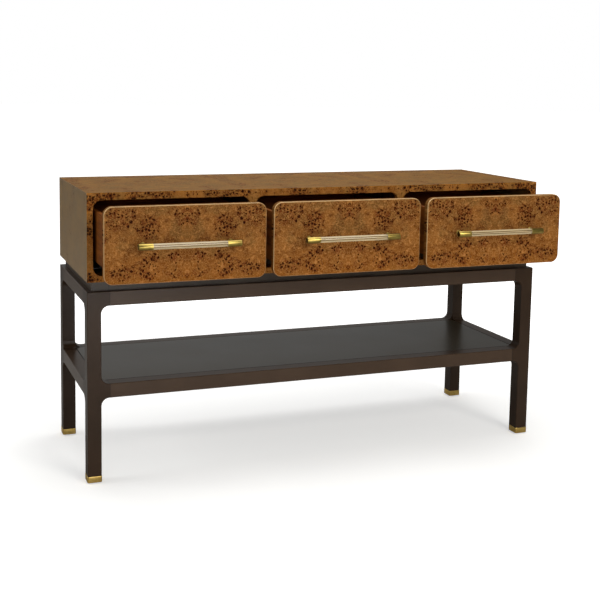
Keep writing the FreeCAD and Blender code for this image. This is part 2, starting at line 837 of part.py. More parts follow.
def make_sleeve(name):
    """A brass sleeve along +X with a closed outer end and a hole for its post."""
    body = new_body(name)
    half = new_sketch(body, f"{name}_half", "XY_Plane")
    radius = "sizes.sleeve_radius"
    edge = "sizes.sleeve_edge"
    length = "sizes.sleeve_length"
    bore = "sizes.rod_radius + sizes.rod_play"
    draw_polygon(
        half,
        [
            ("0", "0"),
            ("0", f"{radius} - {edge}"),
            (edge, radius),
            (length, radius),
            (length, bore),
            ("sizes.sleeve_cap", bore),
            ("sizes.sleeve_cap", "0"),
        ],
    )
    revolve(body, half, "H_Axis")
    hole = new_sketch(body, f"{name}_hole", "XZ_Plane")
    draw_circle(hole, "places.post_inset", "0", "sizes.post_radius + sizes.post_play")
    pocket(body, hole, "sizes.sleeve_radius + sizes.sleeve_edge")
    return body


def make_post(name):
    """A post along +Y from the rod to the drawer front: a shank and a rosette that lies on the face."""
    body = new_body(name)
    half = new_sketch(body, f"{name}_half", "XY_Plane")
    reach = "sizes.pull_reach"
    rosette = "sizes.rosette_radius"
    thickness = "sizes.rosette_thickness"
    draw_polygon(
        half,
        [
            ("0", "sizes.rod_radius + sizes.rod_play"),
            ("sizes.post_radius", "sizes.rod_radius + sizes.rod_play"),
            ("sizes.post_radius", f"{reach} - {thickness}"),
            (rosette, f"{reach} - {thickness}"),
            (rosette, reach),
            ("0", reach),
        ],
    )
    revolve(body, half, "V_Axis")
    return body


def make_front(name):
    """A drawer front with round corners and softened edges."""
    body = new_body(name)
    outline = new_sketch(body, f"{name}_outline", "XZ_Plane")
    half = "places.front_width / 2"
    radius = "(sizes.opening_radius - sizes.front_gap)"
    draw_outline(
        outline,
        [
            (f"-{half}", "0", radius),
            (half, "0", radius),
            (half, "places.front_height", radius),
            (f"-{half}", "places.front_height", radius),
        ],
    )
    pad(body, outline, "sizes.front_board")

    def face_edge(bounds):
        return near(bounds.YMax, 0)

    bevel_edges(body, edges_where(body.Shape, face_edge), "sizes.front_bevel")
    return body


fixed_runners = []
BAYS = [("left", "-1"), ("middle", "0"), ("right", "1")]
for bay, step in BAYS:
    name = f"{bay}_drawer"
    bay_x = f"{step} * places.bay_pitch"
    face = f"places.front - sizes.opened_{bay}"
    box_front_y = f"{face} + sizes.front_board"
    half_box = "places.box_width / 2"

    front = make_front(f"{name}_front_board")
    node(place(front, bay_x, face, "places.front_bottom"), f"{name}_front")

    floor = box(
        f"{name}_floor_board",
        f"places.box_width - 2 * {BOX_BOARD} + 2 * sizes.box_floor_lap",
        f"{BOX_LENGTH} - 2 * {BOX_BOARD} + 2 * sizes.box_floor_lap",
        "sizes.box_floor",
        f"{bay_x} - {half_box} + {BOX_BOARD} - sizes.box_floor_lap",
        f"{box_front_y} + {BOX_BOARD} - sizes.box_floor_lap",
        "places.box_floor_bottom",
    )
    sides = []
    for hand, side_x in (("left", f"-1 * {half_box}"), ("right", f"{half_box} - {BOX_BOARD}")):
        side = new_body(f"{name}_side_{hand}_board")
        tails = new_sketch(side, f"{name}_side_{hand}_outline", "YZ_Plane")
        side_outline(tails)
        pad(side, tails, BOX_BOARD)
        place(side, f"{bay_x} + {side_x}", box_front_y, "places.box_bottom")
        sides.append(side)
        node(cut(f"{name}_side_{hand}", side, [floor]), f"{name}_side_{hand}")
    for end, end_y in (("box_front", box_front_y), ("back", f"{box_front_y} + {BOX_LENGTH} - {BOX_BOARD}")):
        board = box(
            f"{name}_{end}_board",
            "places.box_width",
            BOX_BOARD,
            BOX_HEIGHT,
            f"{bay_x} - {half_box}",
            end_y,
            "places.box_bottom",
        )
        node(cut(f"{name}_{end}_cut", board, [*sides, floor]), f"{name}_{end}")
    node(floor, f"{name}_bottom")

    carriers = []
    sliders = []
    for hand, wall_x, is_right in (("left", "-places.bay_width / 2", False), ("right", "places.bay_width / 2", True)):
        wall = f"{bay_x} + {wall_x}"
        fixed = channel(f"{name}_fixed_{hand}", fixed_section(), "sizes.runner_length", is_right)
        fixed_y = f"places.front + {BOARD} + sizes.runner_setback"
        fixed_runners.append(place(fixed, wall, fixed_y, "places.runner_bottom"))
        slider = channel(f"{name}_slider_{hand}", slider_section(), "sizes.slider_length", is_right)
        slider_y = f"{fixed_y} + sizes.slider_setback - sizes.opened_{bay} / 2"
        sliders.append(place(slider, wall, slider_y, "places.runner_bottom"))
        carrier_length = f"{BOX_LENGTH} - 2 * {BOX_BOARD}"
        carrier = channel(f"{name}_carrier_{hand}", carrier_section(), carrier_length, is_right)
        carriers.append(place(carrier, wall, f"{box_front_y} + {BOX_BOARD}", "places.runner_bottom"))
    node(group(f"{name}_carrier_pair", carriers), f"{name}_carriers")
    node(group(f"{name}_slider_pair", sliders), f"{name}_sliders")

    pull_y = f"{face} - sizes.pull_reach"
    half_pull = "sizes.pull_length / 2"
    clear_rod = rod(
        f"{name}_clear_rod",
        "sizes.rod_radius",
        "sizes.pull_length - 2 * sizes.sleeve_cap",
        f"{bay_x} - {half_pull} + sizes.sleeve_cap",
        pull_y,
        "places.pull_height",
        90,
        (0, 1, 0),
    )
    node(clear_rod, f"{name}_pull_rod")
    sleeves = []
    posts = []
    for hand, sign, turn in (("left", "-", 0), ("right", "", 180)):
        sleeve = make_sleeve(f"{name}_sleeve_{hand}")
        sleeve_x = f"{bay_x} + 1 * ({sign}{half_pull})"
        sleeves.append(place(sleeve, sleeve_x, pull_y, "places.pull_height", turn, (0, 1, 0)))
        post = make_post(f"{name}_post_{hand}")
        post_x = f"{bay_x} + 1 * ({sign}({half_pull} - places.post_inset))"
        posts.append(place(post, post_x, pull_y, "places.pull_height"))
    node(group(f"{name}_sleeve_pair", sleeves), f"{name}_pull_sleeves")
    node(group(f"{name}_post_pair", posts), f"{name}_pull_posts")

node(group("fixed_runner_set", fixed_runners), "case_runners")


# ---------------------------------------------------------------------------------------------------------------
# Check and write
# ---------------------------------------------------------------------------------------------------------------

doc.recompute()
for thing in doc.Objects:
    if "Invalid" in thing.State or "Error" in thing.State:
        raise RuntimeError(f"{thing.Name} failed: {thing.State}")
os.makedirs("parts", exist_ok=True)
for thing in NODES:
    if thing.Shape.isNull() or not thing.Shape.isValid():
        raise RuntimeError(f"{thing.Label} has no valid shape")
for thing in NODES:
    thing.Shape.exportStep(f"parts/{thing.Label}.step")
    print(f"{thing.Label}: {len(thing.Shape.Solids)} solids, {thing.Shape.Volume / 1000:.1f} cm3")
print(f"{len(NODES)} nodes")
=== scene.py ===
# %% [markdown]
# # A wide lowboy with three drawers
# The real piece is a case veneered in burl, on a dark-painted open base with a low shelf. The CAD model
# already fixes every size, joint and motion, so this lesson only dresses it: finishes for all its pieces,
# finer roundings where the eye goes, screws, a room and a camera. Loading comes first, because every
# later cell asks the frame where things are instead of guessing.

# %% Load the fixed frame
import math

import bmesh
import bpy
from mathutils import Matrix, Vector


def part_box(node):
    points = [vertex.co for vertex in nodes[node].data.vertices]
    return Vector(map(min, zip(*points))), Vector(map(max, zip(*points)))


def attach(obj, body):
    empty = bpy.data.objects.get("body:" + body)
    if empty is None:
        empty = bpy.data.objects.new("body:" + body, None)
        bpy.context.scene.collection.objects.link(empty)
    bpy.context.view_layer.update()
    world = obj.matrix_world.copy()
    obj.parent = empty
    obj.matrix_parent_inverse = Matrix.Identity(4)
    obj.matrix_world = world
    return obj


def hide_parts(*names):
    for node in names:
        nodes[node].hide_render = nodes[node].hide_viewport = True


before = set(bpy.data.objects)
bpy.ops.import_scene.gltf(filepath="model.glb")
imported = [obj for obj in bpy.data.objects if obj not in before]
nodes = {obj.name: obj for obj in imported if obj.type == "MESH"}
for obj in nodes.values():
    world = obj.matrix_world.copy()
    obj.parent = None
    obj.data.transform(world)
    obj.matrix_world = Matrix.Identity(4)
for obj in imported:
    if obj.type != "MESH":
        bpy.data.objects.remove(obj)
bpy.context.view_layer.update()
BAYS = ("left", "middle", "right")

# %% [markdown]
# ## Writing node trees
# A finish is a tree of small nodes, and most of them only add, multiply or compare. Wiring those by hand
# hides what is meant, so one small class wraps an output socket and lets sums be written as plain Python.
# Every other node comes from a single method that takes its type, its settings and its sockets. The tree
# that makes the screws and the one that lights the room are written with the same two classes.

# %% Colours picked on a 0 to 255 scale
def tone(red, green, blue, share=1.0):
    """The linear colour that shaders use for a share of a colour picked on a 0 to 255 scale."""
    levels = [level * share / 255 for level in (red, green, blue)]
    return (*(c / 12.92 if c <= 0.04 else ((c + 0.055) / 1.055) ** 2.4 for c in levels), 1.0)


print("middle grey:", [round(c, 3) for c in tone(128, 128, 128)])


# %% Sums on sockets
class Wire:
    """One output socket of a tree. Sums on it add Math nodes."""

    def __init__(self, tree, socket):
        self.tree, self.socket = tree, socket

    def other(self, output):
        """Another output of the same node."""
        return Wire(self.tree, self.socket.node.outputs[output])

    def most(self, other):
        """The larger of two values."""
        return self.tree.math("MAXIMUM", self, other)

    def __add__(self, other):
        return self.tree.math("ADD", self, other)

    def __mul__(self, other):
        return self.tree.math("MULTIPLY", self, other)

    def __sub__(self, other):
        return self.tree.math("SUBTRACT", self, other)

    def __rsub__(self, other):
        return self.tree.math("SUBTRACT", other, self)

    def __truediv__(self, other):
        return self.tree.math("DIVIDE", self, other)

    def __rtruediv__(self, other):
        return self.tree.math("DIVIDE", other, self)

    def __mod__(self, other):
        return self.tree.math("FLOORED_MODULO", self, other)

    def __rmod__(self, other):
        return self.tree.math("FLOORED_MODULO", other, self)

    def __abs__(self):
        return self.tree.math("ABSOLUTE", self)

    __radd__, __rmul__ = __add__, __mul__


print("operators on sockets: + - * / % and abs")


# %% One method for every node
class Tree:
    """A node tree while it is written."""

    def __init__(self, graph):
        self.graph = graph
        graph.nodes.clear()

    def add(self, kind, settings=None, sockets=None, out=0):
        """Adds a node, makes its settings, then fills or links its sockets. A list shares one socket."""
        node = self.graph.nodes.new(kind)
        for key, value in (settings or {}).items():
            setattr(node, key, value)
        for key, value in (sockets or {}).items():
            for part in value if isinstance(value, list) else [value]:
                if isinstance(part, Wire):
                    self.graph.links.new(part.socket, node.inputs[key])
                else:
                    node.inputs[key].default_value = part
        return Wire(self, node.outputs[out]) if node.outputs else None

    def math(self, operation, *values):
        return self.add("ShaderNodeMath", {"operation": operation}, dict(enumerate(values)))

    def parts(self, vector):
        """The three numbers of a vector or colour."""
        first = self.add("ShaderNodeSeparateXYZ", {}, {0: vector})
        return [first.other(axis) for axis in range(3)]

    def point(self, x, y, z):
        return self.add("ShaderNodeCombineXYZ", {}, {0: x, 1: y, 2: z})

    def rise(self, value, low, high, start=0.0, end=1.0):
        """start where value is at low, end where it is at high, and a soft step between them."""
        sockets = {"Value": value, "From Min": low, "From Max": high, "To Min": start, "To Max": end}
        return self.add("ShaderNodeMapRange", {"interpolation_type": "SMOOTHSTEP"}, sockets)


print("tree writer ready")


# %% A tree that is a finish
class Finish(Tree):
    """A material while it is written, with the object's own place and direction ready to use."""

    def __init__(self, name):
        self.material = bpy.data.materials.new(name)
        self.material.use_nodes = True
        super().__init__(self.material.node_tree)
        self.place = self.add("ShaderNodeTexCoord", out="Object")
        self.x, self.y, self.z = self.parts(self.place)
        self.facing = self.place.other("Normal")

    def drawn_out(self, axis, share):
        """The place squeezed along one axis, which draws a pattern out along it."""
        place = [self.x, self.y, self.z]
        place[axis] = place[axis] * share
        return self.point(*place)

    def noise(self, place, size, detail, rough, swirl=0.0, out="Fac"):
        """Soft random patches about that many metres across, from 0 to 1."""
        sockets = {"Vector": place, "Scale": 1 / size, "Detail": detail, "Roughness": rough}
        return self.add("ShaderNodeTexNoise", {}, {**sockets, "Distortion": swirl}, out)

    def mark(self):
        """The painted light that the mesh itself holds: up to 1 in the painted highlight along the fronts'
        rounded edges and in the painted shade of the sleeves' dished ends, 0 elsewhere.
        """
        return self.add("ShaderNodeAttribute", {"attribute_name": "mark"}, out="Fac")

    def mix(self, share, first, second):
        return self.add("ShaderNodeMix", {"data_type": "RGBA"}, {0: share, 6: first, 7: second}, 2)

    def surface(self, colour, roughness, bump=None, **fixed):
        """Ends the finish in one Principled shader. bump holds a height, its depth in metres and its
        strength. What is the same all over is set on the shader's own sockets."""
        sockets = {"Base Color": colour, "Roughness": roughness}
        for key, value in fixed.items():
            sockets[key.replace("_", " ").title().replace("Ior", "IOR")] = value
        if bump:
            names = ("Height", "Distance", "Strength")
            sockets["Normal"] = self.add("ShaderNodeBump", {}, dict(zip(names, bump)))
        shader = self.add("ShaderNodeBsdfPrincipled", {}, sockets)
        self.add("ShaderNodeOutputMaterial", {}, {"Surface": shader})
        return self.material


print("finish writer ready")

# %% [markdown]
# ## Burl veneer
# Burl is a slice through hundreds of dormant buds. It shows small dark eyes in clusters, a red-brown rim
# and a light golden ring round each eye, and cloudy ground between them from honey to a cool grey-brown.
# Veneer leaves are laid in mirrored pairs, so the pattern folds at the middle of each drawer and again at
# each divider. An image texture would do it, but a written one stays sharp at any distance and continues
# round edges. The eyes are the cells of a Voronoi texture, thinned out by a mask that says where the
# clusters lie, and every place is first bent by a noise, so that nothing in the figure runs straight.

# %% The mirrored leaves of veneer
PITCH = (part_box("right_drawer_front")[0].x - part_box("left_drawer_front")[0].x) / 2
FRONT_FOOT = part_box("middle_drawer_front")[0].z


def folded(x):
    """Distance from the middle of the nearest drawer. It mirrors the pattern there and at the dividers."""
    return abs((x + PITCH / 2) % PITCH - PITCH / 2)


print("leaves repeat every", round(PITCH * 1000, 1), "mm")

# %% Eyes, their rims and their golden rings
EYE_CELL, SMALL_EYE_CELL = 0.0104, 0.0056


def eyes(finish, across, along, cell, crowd, radius):
    """Masks of the dark eyes, their rims and the light ground round them, where crowd is high.
    cell is the room of one eye in metres, and radius is a share of it."""
    sockets = {"Vector": finish.point(across, along, 0.0), "Scale": 1 / cell}
    near = finish.add("ShaderNodeTexVoronoi", {"voronoi_dimensions": "2D"}, sockets)
    pick, girth, _ = finish.parts(near.other("Color"))
    kept = finish.rise(crowd - pick, 0.0, 0.06)
    edge = near - girth * (radius * 0.6)
    dark = finish.rise(edge, radius * 1.15, radius * 0.45)
    rim = finish.rise(edge, radius * 1.9, radius)
    ring = finish.rise(near, 0.62, 0.15)
    return [mask * kept for mask in (dark, rim, ring)]


print("room for an eye:", EYE_CELL * 1000, "mm, and for a small one:", SMALL_EYE_CELL * 1000, "mm")

# %% Where the eyes crowd
# Each group is (middle across, middle up, half width, half height) in metres. Across starts at the
# leaf's fold on the drawer fronts and at the middle of the case on the frame. Up starts at the fronts'
# lower edge.
FRONT_GROUPS = (
    (0.010, 0.188, 0.026, 0.026), (0.112, 0.156, 0.032, 0.034), (0.172, 0.186, 0.030, 0.024),
    (0.214, 0.186, 0.020, 0.034), (0.036, 0.070, 0.022, 0.014), (0.036, 0.024, 0.020, 0.013),
    (0.110, 0.062, 0.024, 0.026), (0.118, 0.022, 0.026, 0.013), (0.186, 0.034, 0.036, 0.022),
)
FRAME_GROUPS = (
    (0.709, 0.236, 0.037, 0.018), (0.557, 0.236, 0.050, 0.018), (0.330, 0.236, 0.083, 0.018),
    (0.752, 0.212, 0.018, 0.026), (0.752, 0.140, 0.018, 0.026), (0.750, -0.010, 0.026, 0.022),
    (0.500, -0.008, 0.060, 0.014), (0.251, 0.160, 0.018, 0.030), (0.100, 0.236, 0.040, 0.018),
)
RAGGED, BROAD = 0.02, 0.07


def crowding(finish, place, u, v, groups, scattered):
    """How thick the eyes stand, from 0 to 1: in groups with ragged outlines, and wherever a broad noise
    rises through the two scattered levels."""
    ragged = finish.noise(place, RAGGED, 2.0, 0.6)
    crowd = finish.rise(finish.noise(place, BROAD, 2.0, 0.5), *scattered)
    for middle_u, middle_v, half_u, half_v in groups:
        square_u, square_v = (u - middle_u) / half_u, (v - middle_v) / half_v
        far = square_u * square_u + square_v * square_v + (ragged - 0.5) * 2.4
        crowd = crowd.most(finish.rise(far, 1.7, 0.2))
    return crowd


print("groups of eyes:", len(FRONT_GROUPS), "on each half front,", len(FRAME_GROUPS), "on each half frame")

# %% Cloudy ground under the figure
CLOUD = 0.06
HONEY = tone(122, 68, 16)


def cloudy_ground(finish, place, u, v, w, ground, warm):
    """Two warm tones and a cool one in soft clouds, with more honey towards the lower edge."""
    cloud = finish.noise(place, CLOUD, 3.0, 0.55, 0.5)
    cool = finish.rise(finish.noise(finish.point(u + 0.7, v, w), CLOUD, 3.0, 0.6, 0.3), 0.48, 0.62)
    deep, bright, grey = (tone(*picked) for picked in ground)
    colour = finish.mix(finish.rise(cloud, 0.36, 0.62), deep, bright)
    colour = finish.mix(cool * 0.7, colour, grey)
    if warm:
        colour = finish.mix(finish.rise(v, 0.12, 0.0) * warm, colour, HONEY)
    return colour


print("clouds of", CLOUD * 1000, "mm")

# %% Burl from two directions on the surface and one through it
SWIRL, BLOTCH, FLECK = 0.013, 0.012, 0.0036
BURL_RELIEF = 0.00015
PALE_MOTTLE, DEEP_MOTTLE, STAIN = tone(158, 106, 53), tone(68, 30, 5), tone(84, 32, 5)
PALE_FLECK, GOLD, RIM = tone(184, 134, 78), tone(188, 132, 66), tone(88, 36, 6)
EYE, EDGE_HIGHLIGHT = tone(30, 8, 2), tone(206, 176, 130)


def burl(name, across, along, through, groups, scattered, ground, warm=0.0, bold=1.0, shine=0.02,
         rough=0.46):
    """across, along and through take a finish and give a coordinate in metres. bold scales the figure."""
    finish = Finish(name)
    u, v, w = across(finish), along(finish), through(finish)
    place = finish.point(u, v, w)
    bend_u, bend_v, _ = finish.parts(finish.noise(place, SWIRL, 3.0, 0.6, out="Color"))
    bent_u, bent_v = u + (bend_u - 0.5) * SWIRL, v + (bend_v - 0.5) * SWIRL
    bent = finish.point(bent_u, bent_v, w)
    crowd = crowding(finish, place, u, v, groups, scattered)
    few = crowd * 0.55 + 0.04
    dark, rim, ring = eyes(finish, bent_u, bent_v, EYE_CELL, crowd * 0.8, 0.27)
    small_dark, small_rim, small_ring = eyes(finish, bent_u + 0.31, bent_v, SMALL_EYE_CELL, few, 0.26)
    mottle = finish.noise(bent, SWIRL, 3.0, 0.62, 1.0)
    fleck = finish.noise(bent, FLECK, 2.0, 0.6)
    both = dark.most(small_dark * 0.85)
    figure = (
        (finish.rise(mottle, 0.52, 0.7), 0.7, PALE_MOTTLE),
        (finish.rise(mottle, 0.48, 0.3), 0.75, DEEP_MOTTLE),
        (finish.rise(finish.noise(bent, BLOTCH, 2.0, 0.6, 1.0), 0.54, 0.42) * crowd, 0.85, STAIN),
        (finish.rise(fleck, 0.4, 0.75), 0.4, PALE_FLECK),
        (ring.most(small_ring) * finish.rise(mottle, 0.4, 0.6), 0.75, GOLD),
        (rim.most(small_rim * 0.8), 0.48, RIM),
        (both, 0.95, EYE),
    )
    colour = cloudy_ground(finish, place, u, v, w, ground, warm)
    for mask, share, laid in figure:
        colour = finish.mix(mask * (share * bold), colour, laid)
    # Painted highlight: a light cream line along the fronts' rounded edges, strongest at the top and left,
    # where the light catches them.
    colour = finish.mix(finish.mark() * 0.8, colour, EDGE_HIGHLIGHT)
    roughness = fleck * 0.08 + both * 0.1 + rough
    relief = (fleck * 0.4 - both, BURL_RELIEF, 0.3)
    return finish.surface(colour, roughness, relief, specular_ior_level=shine)


print("figure swirls over", SWIRL * 1000, "mm, flecks are", FLECK * 1000, "mm")

# %% Four cuts of burl
THROUGH = 0.15    # how fast the figure changes into the wood, as a share of how fast it does along it
FRONT_BURL = burl(
    "burl_front", lambda f: folded(f.x), lambda f: f.z - FRONT_FOOT, lambda f: f.y * THROUGH,
    FRONT_GROUPS, (0.62, 0.72), ((89, 51, 17), (117, 73, 30), (97, 67, 31)), warm=0.6,
)
# Painted light: the frame's burl gets a lighter ground than the fronts', which makes up for the shade that
# the open drawers cast on it.
LIT_FRAME_BURL = burl(
    "burl_frame_lit", lambda f: abs(f.x), lambda f: f.z - FRONT_FOOT, lambda f: f.y * THROUGH + 0.4,
    FRAME_GROUPS, (0.62, 0.72), ((122, 72, 22), (152, 98, 40), (128, 90, 42)), warm=0.35,
)
TOP_BURL = burl(
    "burl_top", lambda f: folded(f.x), lambda f: f.y, lambda f: f.z * THROUGH,
    (), (0.52, 0.62), ((101, 69, 22), (117, 81, 27), (98, 74, 30)), bold=0.6, shine=0.08,
)
# Painted sheen: the side's paler, greyer ground stands for the soft reflection of the light along the case's
# side.
SIDE_BURL_SHEEN = burl(
    "burl_side_sheen", lambda f: f.y, lambda f: f.z, lambda f: f.x * THROUGH,
    (), (0.6, 0.7), ((112, 86, 44), (124, 96, 50), (114, 92, 56)), bold=0.35, shine=1.0, rough=0.3,
)
print("burl nodes:", len(FRONT_BURL.node_tree.nodes))

# %% [markdown]
# ## Plain boards
# The drawer boxes, partitions and back are straight-grained boards. A Wave texture draws growth rings, but
# they come out evenly spaced, as if printed. Fibres run along a board, so here a plain noise is read on
# coordinates that are squeezed along the fibres, which draws it out into long, uneven streaks. A much
# finer noise, squeezed harder, makes the pores. Where a board is cut across its fibres, the face is
# darker and speckled, so the dovetails of the drawer boxes show.

# %% Straight-grained wood
STREAKS_DRAWN, PORES_DRAWN = 0.07, 0.03
STREAK, PORE, END_SPECK = 0.02, 0.0016, 0.004
PORE_RELIEF = 0.0001


def boards(name, light, dark, grain, rough, shine=0.2):
    """grain is 0, 1 or 2: the axis along which the fibres run."""
    finish = Finish(name)
    streak = finish.noise(finish.drawn_out(grain, STREAKS_DRAWN), STREAK, 4.0, 0.6, 0.5)
    pores = finish.noise(finish.drawn_out(grain, PORES_DRAWN), PORE, 2.0, 0.6)
    specks = finish.noise(finish.place, END_SPECK, 3.0, 0.6, 0.5)
    colour = finish.mix(finish.rise(streak, 0.32, 0.68), tone(*dark), tone(*light))
    colour = finish.mix(finish.rise(pores, 0.5, 0.72) * 0.3, colour, tone(*dark, 0.6))
    cut_across = finish.rise(abs(finish.parts(finish.facing)[grain]), 0.75, 0.9)
    end_grain = finish.mix(specks, tone(*dark, 0.5), tone(*light, 0.8))
    colour = finish.mix(cut_across, colour, end_grain)
    return finish.surface(colour, rough + pores * 0.15, (pores, PORE_RELIEF, 0.3), specular_ior_level=shine)


DRAWER_WOOD = {
    axis: boards(f"drawer_wood_{'xyz'[axis]}", (120, 66, 18), (92, 48, 11), axis, 0.5, 0.1)
    for axis in (0, 1)
}
# Painted shade: the partitions and back get darker tones than the drawer boxes, for the shade inside the
# case.
SHADED_INNER_WOOD = {
    axis: boards(f"shaded_inner_wood_{'xyz'[axis]}", (74, 47, 26), (54, 33, 17), axis, 0.6, 0.1)
    for axis in (0, 2)
}
FLOOR_WOOD = boards("drawer_floor_wood", (150, 104, 58), (124, 82, 42), 1, 0.55)
BLOCK_WOOD = boards("block_wood", (206, 174, 130), (180, 142, 98), 2, 0.65)
print("straight-grained finishes:", len(DRAWER_WOOD) + len(SHADED_INNER_WOOD) + 2)

# %% [markdown]
# ## Dark paint
# The base is sprayed in a dark brown, satin lacquer. Sprayed paint is almost flat in colour, and a single
# colour would pass from far off. What makes it look real is a faint unevenness in its gloss and a slight
# ripple in its surface, both far smaller than the piece. Where a rail meets a leg, the joint telegraphs
# through the paint as a hairline, and the bevelled edge of the shelf lies in its own shade. Both could be
# cut into a mesh, but so fine a line is shorter to write as a mask on the distance from where it runs.

# %% Lines in the paint
LEG_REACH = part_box("leg_front_right")[0].x
BASE_MIDDLE_Y = (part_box("leg_front_left")[0].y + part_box("leg_back_left")[1].y) / 2
LEG_REACH_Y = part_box("leg_back_left")[0].y - BASE_MIDDLE_Y
SHELF_LOW, SHELF_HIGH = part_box("shelf_panel")
JOINT_EDGE, JOINT_CORE = 0.0011, 0.0004
GROOVE, GROOVE_SOFT = 0.0025, 0.0008


def joint_lines(finish):
    """Hairlines where the rails meet the legs, on all four sides of the base."""
    line_x = finish.rise(abs(abs(finish.x) - LEG_REACH), JOINT_EDGE, JOINT_CORE)
    line_y = finish.rise(abs(abs(finish.y - BASE_MIDDLE_Y) - LEG_REACH_Y), JOINT_EDGE, JOINT_CORE)
    return line_x.most(line_y)


def shelf_groove_shade(finish):
    """A band of painted shade along all four edges of the shelf panel, where its bevel lies."""
    middle_y = (SHELF_LOW.y + SHELF_HIGH.y) / 2
    edge_x = finish.rise(abs(finish.x) - (SHELF_HIGH.x - GROOVE), -GROOVE_SOFT, 0.0)
    edge_y = finish.rise(abs(finish.y - middle_y) - (SHELF_HIGH.y - middle_y - GROOVE), -GROOVE_SOFT, 0.0)
    return edge_x.most(edge_y)


print("legs' ears meet the rails at", round(LEG_REACH * 1000), "mm from the middle")

# %% Satin paint
PAINT_CLOUD, PAINT_RIPPLE = 0.16, 0.0035
PAINT_RELIEF = 0.0001


def satin_paint(name, light, dark, jointed, shine):
    finish = Finish(name)
    cloud = finish.noise(finish.place, PAINT_CLOUD, 3.0, 0.6)
    ripple = finish.noise(finish.place, PAINT_RIPPLE, 2.0, 0.5)
    colour = finish.mix(finish.rise(cloud, 0.3, 0.7), tone(*dark), tone(*light))
    height = ripple * 0.25
    if jointed:
        line = joint_lines(finish)
        colour = finish.mix(line * 0.8, colour, tone(18, 13, 11))
        height = height - line
    else:
        # Painted shade on the shelf's bevelled edges.
        colour = finish.mix(shelf_groove_shade(finish) * 0.9, colour, tone(12, 9, 8))
    roughness = 0.26 + cloud * 0.08 + ripple * 0.05
    return finish.surface(colour, roughness, (height, PAINT_RELIEF, 0.2), specular_ior_level=shine)


LEG_PAINT = satin_paint("dark_paint_legs", (51, 36, 24), (44, 31, 20), True, 0.22)
# Painted light: the rails and the plinth are the same dark paint as the legs, in lighter tones that make up
# for the shade of the open drawers above them.
LIT_RAIL_PAINT = satin_paint("dark_paint_rails_lit", (67, 51, 38), (61, 46, 34), True, 0.26)
# Painted reflection: the shelf's lighter, greyer tone than the legs' stands for the sheen of the pale room on
# it.
SHEEN_SHELF_PAINT = satin_paint("dark_paint_shelf_sheen", (58, 50, 36), (52, 45, 32), False, 0.75)
LIT_PLINTH_PAINT = satin_paint("dark_paint_plinth_lit", (60, 49, 38), (54, 44, 34), True, 0.28)
print("paint ripples over", PAINT_RIPPLE * 1000, "mm")

# %% [markdown]
# ## Metals and nylon
# The pulls' sleeves and posts are turned brass. The finest marks run round the sleeves: a noise that
# changes only along the rod. The foot caps are cast and rubbed, with marks in no direction. An anisotropic
# shader could smear the highlight instead, but fine marks in the bump do it too, and they also show up
# close. The runners are rolled steel, with a grain along the drawer's way, and the glides are nylon.

# %% Brass, steel and nylon
PATINA, TURNING_MARK, CASTING_MARK = 0.018, 0.0005, 0.0011
ROLLING_MARK, MOULD_GRAIN = 0.002, 0.0012
FINE = 0.00005    # depth in metres of the marks on metal and nylon


def brass(name, light, dark, turned_marks):
    finish = Finish(name)
    patina = finish.noise(finish.place, PATINA, 3.0, 0.6)
    if turned_marks:
        marks = finish.noise(finish.point(finish.x, 0.0, 0.0), TURNING_MARK, 2.0, 0.6)
    else:
        marks = finish.noise(finish.place, CASTING_MARK, 2.0, 0.7)
    colour = finish.mix(finish.rise(patina, 0.3, 0.7), tone(*dark), tone(*light))
    # Painted shade: the sleeves' dished ends are turned dark brown.
    colour = finish.mix(finish.mark(), colour, tone(46, 34, 18))
    return finish.surface(colour, 0.26 + patina * 0.12, (marks, FINE, 0.25), metallic=1.0)


def plated_steel(name):
    finish = Finish(name)
    grain = finish.noise(finish.drawn_out(1, 0.1), ROLLING_MARK, 3.0, 0.6)
    colour = finish.mix(finish.rise(grain, 0.3, 0.7), tone(54, 54, 56), tone(78, 78, 80))
    return finish.surface(colour, 0.4 + grain * 0.15, (grain, FINE, 0.2), metallic=1.0)


def moulded(name, light, dark):
    finish = Finish(name)
    grain = finish.noise(finish.place, MOULD_GRAIN, 2.0, 0.6)
    colour = finish.mix(grain, tone(*dark), tone(*light))
    return finish.surface(colour, 0.55 + grain * 0.1, (grain, FINE, 0.3))


TURNED_BRASS = brass("turned_brass", (186, 164, 88), (160, 138, 70), True)
CAP_BRASS = brass("cap_brass", (250, 214, 128), (234, 192, 102), False)
STEEL = plated_steel("plated_steel")
GLIDE = moulded("glide_nylon", (108, 92, 66), (88, 74, 52))
print("metals and nylon:", [material.name for material in (TURNED_BRASS, CAP_BRASS, STEEL, GLIDE)])

# %% [markdown]
# ## The clear rods
# The rods are clear acrylic. Seen from the front, such a rod is pale, with two darker lines along it where
# it bends the dark surroundings into view. A fully clear shader on a round mesh gives that close up. In a
# small picture it scatters into bright and dark dots, because each ray is bent through several walls. So
# half of the shader lets light through, and the other half is painted refraction: a pale colour for the
# bright surroundings, with the two lines laid on the faces that turn up or down by a given amount.

# %% Clear acrylic with two darker lines
LINE_TURNS = (0.44, -0.15)       # the upward share of the normal under each line
LINE_DARK, LINE_GONE = 0.06, 0.2    # how far that share may differ inside a line, and where it has faded
POLISH = 0.004


def clear_acrylic(name):
    finish = Finish(name)
    polish = finish.noise(finish.drawn_out(0, 0.1), POLISH, 2.0, 0.5)
    _, _, up = finish.parts(finish.facing)
    off_upper, off_lower = [finish.rise(abs(up - turn), LINE_DARK, LINE_GONE) for turn in LINE_TURNS]
    # Painted refraction: the pale colour stands for the bright surroundings bent through the rod, and the
    # darker lines for the dark ones.
    body = finish.mix(polish, tone(196, 180, 144), tone(204, 190, 154))
    colour = finish.mix(off_upper * off_lower, tone(100, 74, 42), body)
    return finish.surface(colour, 0.05 + polish * 0.002, ior=1.49, transmission_weight=0.5)


